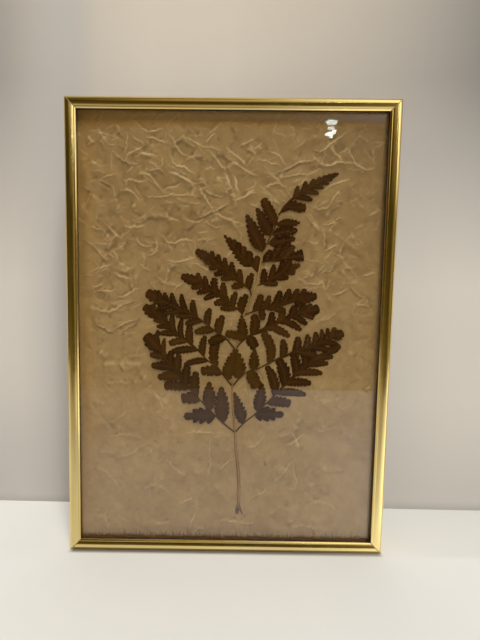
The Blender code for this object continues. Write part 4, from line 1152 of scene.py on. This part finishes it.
# Along one tooth: (place, height), from the notch over the forward-pointing tip
TOOTH_STOPS = ((0.0, 0.0), (0.28, 0.52), (0.55, 0.90), (0.78, 1.0), (0.92, 0.62))
BASE_FLARE = 0.3        # share of its length over which a webbed leaflet widens to its base
BASE_TURN = 0.28        # share over which its rows turn to lie along the midrib
TOOTHED = (0.04, 0.93)  # where its teeth begin and the share of its length that they take
DEEPEST_CUT = 0.6       # deepest notch, as a share of the half-width
FINEST_TEETH = 0.95     # smallest spacing of the teeth
NOTCH = 0.16            # least depth of a notch, and how that varies
NOTCH_JITTER = (0.45, 1.3)
ROW_LAG = 0.7           # how far its rows run forwards to the rim, in half-widths
TOOTH_HOOK = 0.16       # how far its teeth point ahead, in their spacing
CUP = (-0.10, 0.16)     # how far both its rims stand forward, and one more than the other
ROLL = (-0.10, 0.10)
RIM_WAVE = 0.05
MIDDLE_RISE = 0.07      # relief of its middle vein, the side veins and the thin rim
VEIN_RISE = 0.035
RIM_SINK = 0.03
VEIN_SPREAD = 0.12      # how far across a leaflet its middle vein fades
SIDE_VEINS = 0.55       # how pale the side veins are beside that
REAR_RIM = 0.6          # share of the rim's painted shade laid over its rear


def on_midrib(midrib, x):
    """The midrib's point at x, or its end, its heading there and the length up to there."""
    passed = 0.0
    for start, end in zip(midrib, midrib[1:]):
        step = (end - start).length
        if (start.x - x) * (end.x - x) <= 0 and start.x != end.x:
            share = (x - start.x) / (end.x - start.x)
            return start.lerp(end, share), (end - start).normalized(), passed + share * step
        passed += step
    return midrib[-1], (midrib[-1] - midrib[-2]).normalized(), passed


class Shell:
    """Points, faces and attributes of one piece while it is put together."""

    def __init__(self, *attributes):
        self.points = []
        self.faces = []
        self.attributes = {title: [] for title in attributes}

    def add(self, point, **values):
        self.points.append(point)
        for title, row in self.attributes.items():
            row.append(values.get(title, 0.0))

    def close_rings(self, first, rings, count):
        self.faces += loft_faces(rings, count, first)


def toothed_rows(length, pitch, draw):
    """Rows across a leaflet as (share of its length, height on the tooth)."""
    teeth = max(3, round(length * 0.94 / pitch))
    rows = [(0.0, 1.0)]
    starts = [tooth + draw.uniform(-0.22, 0.22) for tooth in range(teeth)] + [teeth]
    starts[0] = 0
    for start, end in zip(starts, starts[1:]):
        for stop, height in TOOTH_STOPS:
            rows.append((TOOTHED[0] + TOOTHED[1] * (start + (end - start) * stop) / teeth, height))
    return rows + [(0.985, 0.7), (1.0, 1.0)]


def leaflet_side(midrib, leaflet):
    """1 for a leaflet above its midrib, -1 for one below it."""
    base, heading, _ = on_midrib(midrib, leaflet[0])
    tip = Vector(leaflet[1:3])
    turn = heading.x * (tip - base).y - heading.y * (tip - base).x
    return 1 if turn * heading.x > 0 else -1


def add_leaflet(shell, midrib, back, leaflet, web, spore, draw):
    """One toothed leaflet; web is its base's half-width where it runs into its neighbours."""
    leave_x, tip_x, tip_z, width, *rest = leaflet
    kind = rest[0] if rest else "blade"
    width *= WIDTH_GAINS.get(kind, 1.0)
    widths, tooth_share, pitch_share, curves = LEAFLET_KINDS[kind]
    lean = LEANS[leaflet_side(midrib, leaflet)] if curves else 0.0
    lean = rest[1] if len(rest) > 1 else lean
    base, heading, _ = on_midrib(midrib, leave_x)
    tip = Vector((tip_x, tip_z))
    length = (tip - base).length
    ahead = (tip - base).normalized()
    bend = base + (ahead * (1 - lean) + heading * lean).normalized() * length / 2
    aside = abs(ahead.x * heading.y - ahead.y * heading.x)
    flare = max(0.0, web - width / 2 * widths[0])
    pitch = max(FINEST_TEETH, pitch_share * width)
    depth = NOTCH + tooth_share * width
    tone = draw.random()
    cup = draw.uniform(*CUP)
    roll = draw.uniform(*ROLL)
    wave_phase = draw.uniform(0, 6.28)
    first_point = len(shell.points)
    rows = toothed_rows(length, pitch, draw)
    jitter = {side: draw.uniform(*NOTCH_JITTER, len(rows)) for side in (-1, 1)}
    for number, (share, tooth) in enumerate(rows):
        half = width / 2 * float(np.interp(share, LEAFLET_SHARES, widths))
        half += flare * max(0.0, 1 - share / BASE_FLARE) ** 2
        # The teeth fade towards the base and the tip
        edge_fade = min(1.0, share / 0.15, (1 - share) / 0.06 + 0.2)
        turned = aside * max(0.0, 1 - share / BASE_TURN)
        vein = tooth ** 3
        for column, out in enumerate(FRONT_COLUMNS + REAR_COLUMNS):
            far = abs(out)
            side = -1 if out < 0 else 1
            cut = depth * (1 - tooth) * jitter[side][number // len(TOOTH_STOPS)] * edge_fade
            cut = min(cut, half * DEEPEST_CUT)
            reach = half - cut * min(1.0, far ** 1.5 + 0.02)
            # Rows run forwards from the middle to the rim, and the teeth point ahead
            lag = (1 - far) * ROW_LAG * half * min(1.0, share / 0.1, (1 - share) / 0.15)
            hook = TOOTH_HOOK * pitch * tooth * far ** 3 * edge_fade
            along = min(max(share - (lag - hook) / length, 0.0), 1.0)
            middle = ((1 - along) ** 2 * base + 2 * along * (1 - along) * bend
                      + along ** 2 * tip)
            run = ((1 - along) * (bend - base) + along * (tip - bend)).normalized()
            across = Vector((-run.y, run.x))
            beside = heading if heading.dot(across) > 0 else -heading
            across = (across * (1 - turned) + beside * turned).normalized()
            place = middle + across * reach * out
            middle_vein = math.exp(-(out / VEIN_SPREAD) ** 2)
            level = back - cup * out * out + roll * out
            level += RIM_WAVE * math.sin(wave_phase + 9 * share) * far
            # rim carries painted shade: along the front's edge, and over the rear
            if column >= len(FRONT_COLUMNS):
                level += LEAF_THICKNESS
                rim = REAR_RIM
            else:
                level -= MIDDLE_RISE * middle_vein * (1 - share)
                level -= VEIN_RISE * vein * (1 - far) * min(1.0, far * 6)
                level += RIM_SINK * far ** 4
                rim = far ** 6
            veins = max(middle_vein, SIDE_VEINS * vein * (1 - far))
            shell.add(at(place.x, level, place.y), tone=tone, rim=rim, vein=veins,
                      spore=spore * (1 - far) * 1.4)
    shell.close_rings(first_point, len(rows), len(FRONT_COLUMNS) + len(REAR_COLUMNS))


def add_strip(shell, curve, back, halves, section, **values):
    """A strip along a curve; its section is (place across from -1 to 1, rise) points."""
    first = len(shell.points)
    for point, run, half in zip(curve, headings(curve), halves):
        for across, rise in section:
            out = half * across
            # rim paints shade along the strip's edges
            shell.add(at(point.x - run.y * out, back - rise * half, point.y + run.x * out),
                      vein=0.6 * max(0.0, rise), rim=0.4 * abs(across) ** 4, **values)
    shell.close_rings(first, len(curve), len(section))


RIB_SECTION = [(math.cos(math.pi * side / 5), 0.6 * math.sin(math.pi * side / 5))
               for side in range(10)]
SPORE_TIPS = {"branch_right_2": 7, "branch_right_6": 5, "branch_right_7": 1,
              "branch_right_8": 1}
OVER_STEM = {"branch_left_2": (8,), "branch_right_3": (5, 6)}    # leaflets lying across it
OVER_STEM_BACK = 7.08
# Shares of a midrib between which its leaflets grow together, long branches later
WEBBED = (0.12, 0.5)
WEBBED_FROM = {"branch_tip": (0.0, 0.85), **{name: (0.3, 0.85) for name in LONG_BRANCHES}}


def webbing(name, share):
    """How far the blade is joined along the midrib, from 0 by the stem to 1 near the tip."""
    return float(soft_step(share, *WEBBED_FROM.get(name, WEBBED)))


def web_widths(name, midrib, leaflets):
    """Half-width of each leaflet's base, from its distance to its neighbours on its side."""
    total = on_midrib(midrib, 1e6)[2]
    places = [on_midrib(midrib, leaflet[0])[2] for leaflet in leaflets]
    sides = [leaflet_side(midrib, leaflet) for leaflet in leaflets]
    webs = []
    for place, side in zip(places, sides):
        gaps = sorted(abs(other - place) for other, beside in zip(places, sides)
                      if beside == side and other != place)
        near = gaps[:2]
        gap = sum(near) / len(near) if near else 0.0
        webs.append(webbing(name, place / total) * min(gap, 8.0) * 0.5)
    webs[-1] = 0.0
    return webs


def add_branch(name, layer, midrib_points, leaflets, material):
    draw = np.random.default_rng(sum(place * ord(letter) for place, letter in enumerate(name, 1)))
    midrib = smooth_curve(midrib_points, 8)
    back = LAYER_BACKS[layer]
    shell = Shell("tone", "rim", "vein", "spore")
    spore_from = len(leaflets) - SPORE_TIPS.get(name, 0)
    webs = web_widths(name, midrib, leaflets)
    for number, (leaflet, web) in enumerate(zip(leaflets, webs)):
        level = OVER_STEM_BACK if number in OVER_STEM.get(name, ()) else back
        level += 0.055 * (number % 3 - 1)
        add_leaflet(shell, midrib, level, leaflet, web,
                    1.0 if number >= spore_from else 0.0, draw)
    shares = [index / (len(midrib) - 1) for index in range(len(midrib))]
    if len(leaflets) > 1:
        wings = [0.3 + 1.15 * webbing(name, share) * (1 - 0.5 * share ** 3) for share in shares]
        flat = [(across * 0.99, 0.0) for across in (-1, -0.5, 0, 0.5, 1)]
        flat += [(0.9, -0.08), (-0.9, -0.08)]
        add_strip(shell, midrib, back - 0.02, wings, flat, tone=0.5)
    halves = [(RIB_WIDTHS[0] * (1 - share) + RIB_WIDTHS[1] * share) / 2 for share in shares]
    add_strip(shell, midrib, back, halves, RIB_SECTION, tone=0.9)
    piece = make_object(name + "_leaflets", shell.points, shell.faces, material,
                        shell.attributes, sharp_above=math.radians(55))
    fix_normals(piece)
    place_piece(piece, name)


def stem_half_depth(height):
    """The stem is thick at its foot and flat from where the leaves begin."""
    return float(np.interp(height, FLATTENS, (STIPE_HALF_DEPTH, RACHIS_HALF_DEPTH)))


def add_stalk(shell, curve, sides, furrows, depth_share=1.0):
    """A furrowed stalk along (x, z, width) points."""
    first = len(shell.points)
    middle_back = LAYER_BACKS[2]
    for (x, z, width), run in zip(curve, headings(curve)):
        for side in range(sides):
            turn = 2 * math.pi * side / sides
            furrow = 1 - 0.09 * (0.5 + 0.5 * math.cos(furrows * turn + 0.02 * z)) \
                - 0.03 * math.sin(0.7 * z + 3 * turn)
            out = width / 2 * math.cos(turn) * furrow
            level = middle_back - stem_half_depth(z) * depth_share * math.sin(turn) * furrow
            # rim paints contact shadow along the stalk's sides
            shell.add(at(x - run.y * out, level, z + run.x * out),
                      rim=abs(math.cos(turn)) ** 3)
    shell.close_rings(first, len(curve), sides)


def add_stem(material):
    shell = Shell("rim")
    add_stalk(shell, smooth_curve(STEM, 9), 24, 7)
    for strand in FRAYED_STRANDS:
        add_stalk(shell, smooth_curve(strand, 7), 10, 3, 0.55)
    piece = make_object("stem_fibrous", shell.points, shell.faces, material, shell.attributes,
                        sharp_above=math.radians(60))
    fix_normals(piece)
    place_piece(piece, "stem")


# ---- The studio ---------------------------------------------------------------------------------
def add_plane(name, corners, material):
    item = make_object(name, corners, [tuple(range(len(corners)))], material)
    return item


def floor_finish():
    made = Finish("pale_floor", Roughness=0.6)
    x, y, _ = made.axes()
    made.tint((0.815, 0.815, 0.782), (0.865, 0.865, 0.84), made.noise(3.0, 3.0, 0.5), 0.3, 0.7)
    # Painted contact shadow on the floor just in front of the frame's foot
    under = made.product(made.spread(y, FRONT_Y - 0.0035, FRONT_Y - 0.0005),
                         made.spread(made.away(x), 0.1045, 0.108, 1.0, 0.0))
    made.coat((0.10, 0.075, 0.04), under, at_high=0.85)
    # Painted shade: the floor darker towards the right
    made.coat((0.645, 0.65, 0.62), x, 0.05, 0.25, 0.8)
    made.raise_surface(made.noise(600.0, 3.0, 0.6), 0.00003, 0.3)
    return made.done()


def wall_finish():
    """Pale wall that is seen from the front only, with painted shade to its upper corners, beside
    the frame and near the floor, and painted warm light high in the middle.
    """
    made = Finish("pale_wall", Roughness=0.85)
    x, _, z = made.axes()
    made.tint((0.65, 0.615, 0.57), (0.695, 0.655, 0.605), made.noise(2.5, 3.0, 0.5), 0.3, 0.7)
    # Painted soft shading in upright streaks
    made.coat((0.555, 0.53, 0.50), made.noise(5.0, 2.0, 0.4, (1.0, 1.0, 0.15)), 0.35, 0.7, 0.25)
    # Painted shade towards both upper corners
    high = made.spread(z, 0.18, 0.34)
    made.coat((0.19, 0.18, 0.17), made.product(high, made.spread(x, 0.0, 0.20)), at_high=0.9)
    made.coat((0.265, 0.25, 0.24), made.product(high, made.spread(x, -0.06, -0.19)), at_high=0.9)
    # Painted warm light high in the middle
    warm = made.product(made.spread(z, 0.27, 0.42), made.spread(made.away(x), 0.06, 0.2, 1.0, 0.0))
    made.coat((0.60, 0.515, 0.405), warm, at_high=0.6)
    # Painted shadow of the frame on the wall just left of it
    beside = made.product(made.spread(x, -0.10, -0.12), made.spread(x, -0.165, -0.13))
    made.coat((0.47, 0.46, 0.44), beside, at_high=0.75)
    # Painted shade along the floor line, and more softly low on the wall
    made.coat((0.27, 0.25, 0.225), z, 0.0, 0.007, 0.0, 0.45)
    made.coat((0.34, 0.33, 0.325), z, 0.02, 0.09, 0.0, 0.25)
    # Painted shadow of the frame low on its left
    corner = made.product(made.spread(z, 0.05, 0.12, 1.0, 0.0), made.spread(x, -0.12, -0.2))
    made.coat((0.44, 0.43, 0.425), corner, at_high=0.5)
    made.clear(made.node("ShaderNodeNewGeometry", {}).outputs["Backfacing"])
    return made.done()


def glow_finish(name, dim, bright, blotch, between=(0.08, 0.6)):
    """A surface that shines with its glow attribute, dim colour to bright colour."""
    made = Finish(name)
    glow = made.value("glow")
    uneven = made.spread(made.noise(9.0, 3.0, 0.55), 0.3, 0.7, 1.0 - blotch, 1.0 + blotch)
    shine = made.node("ShaderNodeEmission", {
        "Color": made.blend(made.spread(glow, *between), dim, bright),
        "Strength": made.product(glow, uneven)})
    made.links.new(shine.outputs[0], made.surface)
    return made.material


WALL_Y = 0.0571             # the wall's place at the middle, and how it slants
WALL_SLANT = -0.0152
WALL_HALF = 1.4
WALL_TOP = 1.5
FLOOR_RADIUS = 1.6
RIM_POINTS = 96
ROOM_SIDE = 0.8             # the room that the metal and the glass mirror
ROOM_Y = -0.47
ROOM_REAR_Y = 1.0
ROOM_TOP = 1.2
TABLE_Z = 0.001             # its table, which ends just in front of the frame
TABLE_EDGE_Y = -0.012
REAR_GLOW = 0.5
CARD_CELLS = 40
GLINT_GAP = 0.01            # how far the panes stand in front of the room's front


def hide_from_all_but_mirrors(item):
    item.visible_camera = False
    item.visible_shadow = False
    item.visible_diffuse = False


def add_card(name, corner, across, up, glow, material):
    """A surface that only shows in the metal and the glass; glow gives its light at a point."""
    corner, across, up = Vector(corner), Vector(across), Vector(up)
    side = CARD_CELLS + 1
    points = [corner + across * (column / CARD_CELLS) + up * (row / CARD_CELLS)
              for row in range(side) for column in range(side)]
    faces = [(first, first + 1, first + side + 1, first + side)
             for row in range(CARD_CELLS)
             for first in range(row * side, row * side + CARD_CELLS)]
    card = make_object(name, points, faces, material, {"glow": [glow(point) for point in points]})
    hide_from_all_but_mirrors(card)


def front_glow(point):
    """The dim room in front, with a bright window far to the right and light up high."""
    x, z = point.x, point.z
    level = np.interp(x, (-0.3, 0.0, 0.1, 0.2, 0.34, 0.45, 0.55),
                      (0.06, 0.04, 0.05, 0.09, 0.27, 0.15, 0.24))
    level *= 1 - 0.4 * soft_step(z, 0.25, 0.36) * soft_step(-x, -0.02, 0.1)
    level += 0.15 * math.exp(-z / 0.08) * soft_step(-x, -0.25, 0.1)
    level += soft_step(x, 0.42, 0.56) * soft_step(z, 0.32, 0.42)
    middle = np.interp(x, (-0.22, -0.1, 0.12, 0.2, 0.26), (0.0, 0.10, 0.14, 0.08, 0.0))
    upper = np.interp(x, (-0.22, -0.08, 0.12, 0.2, 0.28), (0.04, 0.2, 0.3, 0.6, 1.1))
    return level + middle * soft_step(z, 0.29, 0.35) + upper * soft_step(z, 0.438, 0.45)


def table_glow(point):
    level = np.interp(point.y, (ROOM_Y, -0.24, -0.11, -0.03), (0.38, 0.45, 0.62, 0.7))
    near = 0.5 + 0.5 * soft_step(point.y, -0.34, -0.2)
    return level * (1 + 1.3 * near * soft_step(point.x, 0.04, 0.2))


def ceiling_glow(point):
    return 0.22 + soft_step(point.x, 0.02, 0.4)


def left_glow(point):
    return 0.05 + 0.02 * math.exp(-point.z / 0.1)


def right_glow(point):
    return np.interp(point.z, (0.0, 0.08, 0.3, 0.40), (0.4, 0.16, 0.13, 1.0))


def add_room():
    room = glow_finish("dim_room", (1.0, 0.74, 0.20), (1.0, 0.98, 0.93), 0.12)
    table = glow_finish("pale_table", (1.0, 0.70, 0.36), (0.97, 0.98, 1.0), 0.10, (0.3, 0.5))
    left, wide = -ROOM_SIDE, (2 * ROOM_SIDE, 0, 0)
    deep, tall = (0, ROOM_REAR_Y - ROOM_Y, 0), (0, 0, ROOM_TOP)
    add_card("room_front", (left, ROOM_Y, 0), wide, tall, front_glow, room)
    add_card("room_rear", (left, ROOM_REAR_Y, 0), wide, tall, lambda point: REAR_GLOW, room)
    add_card("room_ceiling", (left, ROOM_Y, ROOM_TOP), wide, deep, ceiling_glow, room)
    add_card("room_left", (left, ROOM_Y, 0), deep, tall, left_glow, room)
    add_card("room_right", (ROOM_SIDE, ROOM_Y, 0), deep, tall, right_glow, room)
    add_card("room_table", (left, ROOM_Y, TABLE_Z), wide, (0, TABLE_EDGE_Y - ROOM_Y, 0),
             table_glow, table)


# Outlines of the bright window panes that the glass mirrors, as (x, z) on the room's front
GLINTS = {
    "glint_upper": (8.0, [(0.1695, 0.4276), (0.1741, 0.4311), (0.1849, 0.4309),
                          (0.1887, 0.4285), (0.1852, 0.4234), (0.1728, 0.4227)]),
    "glint_middle": (7.0, [(0.172, 0.4161), (0.1737, 0.4203), (0.1822, 0.421),
                           (0.1832, 0.4171), (0.1777, 0.4152)]),
    "glint_lower": (12.0, [(0.1676, 0.4079), (0.1736, 0.4128), (0.1801, 0.4131),
                           (0.1805, 0.4162), (0.1861, 0.4159), (0.1857, 0.4093),
                           (0.1817, 0.409), (0.1808, 0.4023), (0.1734, 0.4056)]),
}


def add_glints():
    pane = glow_finish("window_glint", (0.86, 1.0, 0.95), (0.88, 1.0, 0.95), 0.1)
    for name, (glow, outline) in GLINTS.items():
        points = [(x, ROOM_Y + GLINT_GAP, z) for x, z in outline]
        patch = make_object(name, points, [tuple(range(len(points)))], pane,
                            {"glow": [glow] * len(points)})
        hide_from_all_but_mirrors(patch)


def add_stage():
    turns = [2 * math.pi * step / RIM_POINTS for step in range(RIM_POINTS)]
    rim = [(FLOOR_RADIUS * math.cos(turn), FLOOR_RADIUS * math.sin(turn), 0.0) for turn in turns]
    add_plane("floor", rim, floor_finish())
    left, right = [(x, WALL_Y + WALL_SLANT * x) for x in (-WALL_HALF, WALL_HALF)]
    wall = add_plane("backdrop", [(*left, 0), (*right, 0), (*right, WALL_TOP),
                                  (*left, WALL_TOP)], wall_finish())
    wall.visible_shadow = False
    add_room()
    add_glints()


def add_softbox(name, place, target, size, power, colour):
    """A lit rectangle that faces its target and that nothing mirrors."""
    light = bpy.data.lights.new(name, "AREA")
    light.shape = "RECTANGLE"
    light.size, light.size_y = size
    light.energy = power
    light.color = colour
    item = bpy.data.objects.new(name, light)
    bpy.context.scene.collection.objects.link(item)
    item.visible_glossy = False
    item.location = place
    item.rotation_mode = "QUATERNION"
    item.rotation_quaternion = (Vector(target) - Vector(place)).to_track_quat("-Z", "Y")


def around(azimuth, elevation, distance):
    """A place round the middle of the object; azimuth 0 is in front and 90 to the right."""
    turn, rise = math.radians(azimuth), math.radians(elevation)
    level = math.cos(rise)
    heading = Vector((math.sin(turn) * level, -math.cos(turn) * level, math.sin(rise)))
    return heading * distance + Vector((0, 0, HEIGHT / 2 * MM))


def add_lights():
    middle = (0, 0, HEIGHT / 2 * MM)
    for light in (
            ("key", around(11, 52, 2.3), middle, (0.6, 1.1), 41.8, (1.0, 0.985, 0.955)),
            ("front_pool", (0.02, -0.85, 0.35), (0, 0, 0.2), (0.4, 0.4), 0.4, (1.0, 0.9, 0.7)),
            ("overhead", (-0.25, -0.22, 1.2), (-0.25, -0.22, 0), (0.5, 0.35), 1.4,
             (1.0, 0.98, 0.95)),
            ("left_fill", around(-36, 15, 1.1), middle, (0.35, 0.35), 0.9, (1.0, 0.76, 0.42)),
            ("rear_fill", around(180, 42, 1.2), middle, (0.8, 0.6), 3.4, (1.0, 0.98, 0.95))):
        add_softbox(*light)
    world = bpy.data.worlds.new("studio")
    world.use_nodes = True
    nodes, links = world.node_tree.nodes, world.node_tree.links
    both = nodes.new("ShaderNodeMixShader")
    links.new(nodes.new("ShaderNodeLightPath").outputs["Is Camera Ray"], both.inputs[0])
    for number, surroundings, colour, strength in (
            (1, nodes["Background"], (0.9, 0.82, 0.72, 1.0), 0.10),
            (2, nodes.new("ShaderNodeBackground"), (0.72, 0.69, 0.64, 1.0), 1.0)):
        surroundings.inputs["Color"].default_value = colour
        surroundings.inputs["Strength"].default_value = strength
        links.new(surroundings.outputs[0], both.inputs[number])
    links.new(both.outputs[0], nodes["World Output"].inputs["Surface"])
    bpy.context.scene.world = world


def add_camera():
    yaw, pitch, roll = CAMERA_YAW, CAMERA_PITCH, CAMERA_ROLL
    forward = Vector((math.sin(yaw) * math.cos(pitch), math.cos(yaw) * math.cos(pitch),
                      -math.sin(pitch)))
    level_right = Vector((math.cos(yaw), -math.sin(yaw), 0))
    level_up = level_right.cross(forward)
    right = math.cos(roll) * level_right + math.sin(roll) * level_up
    up = -math.sin(roll) * level_right + math.cos(roll) * level_up
    data = bpy.data.cameras.new("photo_view")
    data.lens = CAMERA_LENS
    data.sensor_width = SENSOR_WIDTH
    data.shift_x = CAMERA_SHIFT
    data.clip_start = 0.01
    item = bpy.data.objects.new("photo_view", data)
    bpy.context.scene.collection.objects.link(item)
    turned = Matrix((right, up, -forward)).transposed().to_4x4()
    item.matrix_world = Matrix.Translation(CAMERA_PLACE) @ turned
    bpy.context.scene.camera = item


# ---- The whole scene ----------------------------------------------------------------------------
def dress_solids():
    """New finishes for the solids that show as they are."""
    finishes = {
        "glass_pane": glass_finish(),
        "backing_board": hardboard_finish(),
        "corner_plate": zinc_finish(),
        "corner_screw": dark_steel_finish(),
        "spring_clip": spring_finish(),
    }
    for node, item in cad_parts.items():
        for start, finish in finishes.items():
            if node.startswith(start):
                for slot in item.material_slots:
                    slot.material = finish


def build():
    add_camera()
    across = gold_finish("polished_gold_across", 0)
    upright = gold_finish("polished_gold_upright", 2)
    add_rail("rail_bottom", WIDTH, across, 0.4)
    add_rail("rail_top", WIDTH, across, 1.9)
    add_rail("rail_left", HEIGHT, upright, 2.7)
    add_rail("rail_right", HEIGHT, upright, 4.4)
    add_paper(paper_finish())
    leaf = leaf_finish()
    for name, (layer, midrib, leaflets) in BRANCHES.items():
        add_branch(name, layer, midrib, leaflets, leaf)
    add_stem(stem_finish())
    dress_solids()
    add_stage()
    add_lights()
    bpy.context.scene.view_settings.view_transform = "Standard"


build()
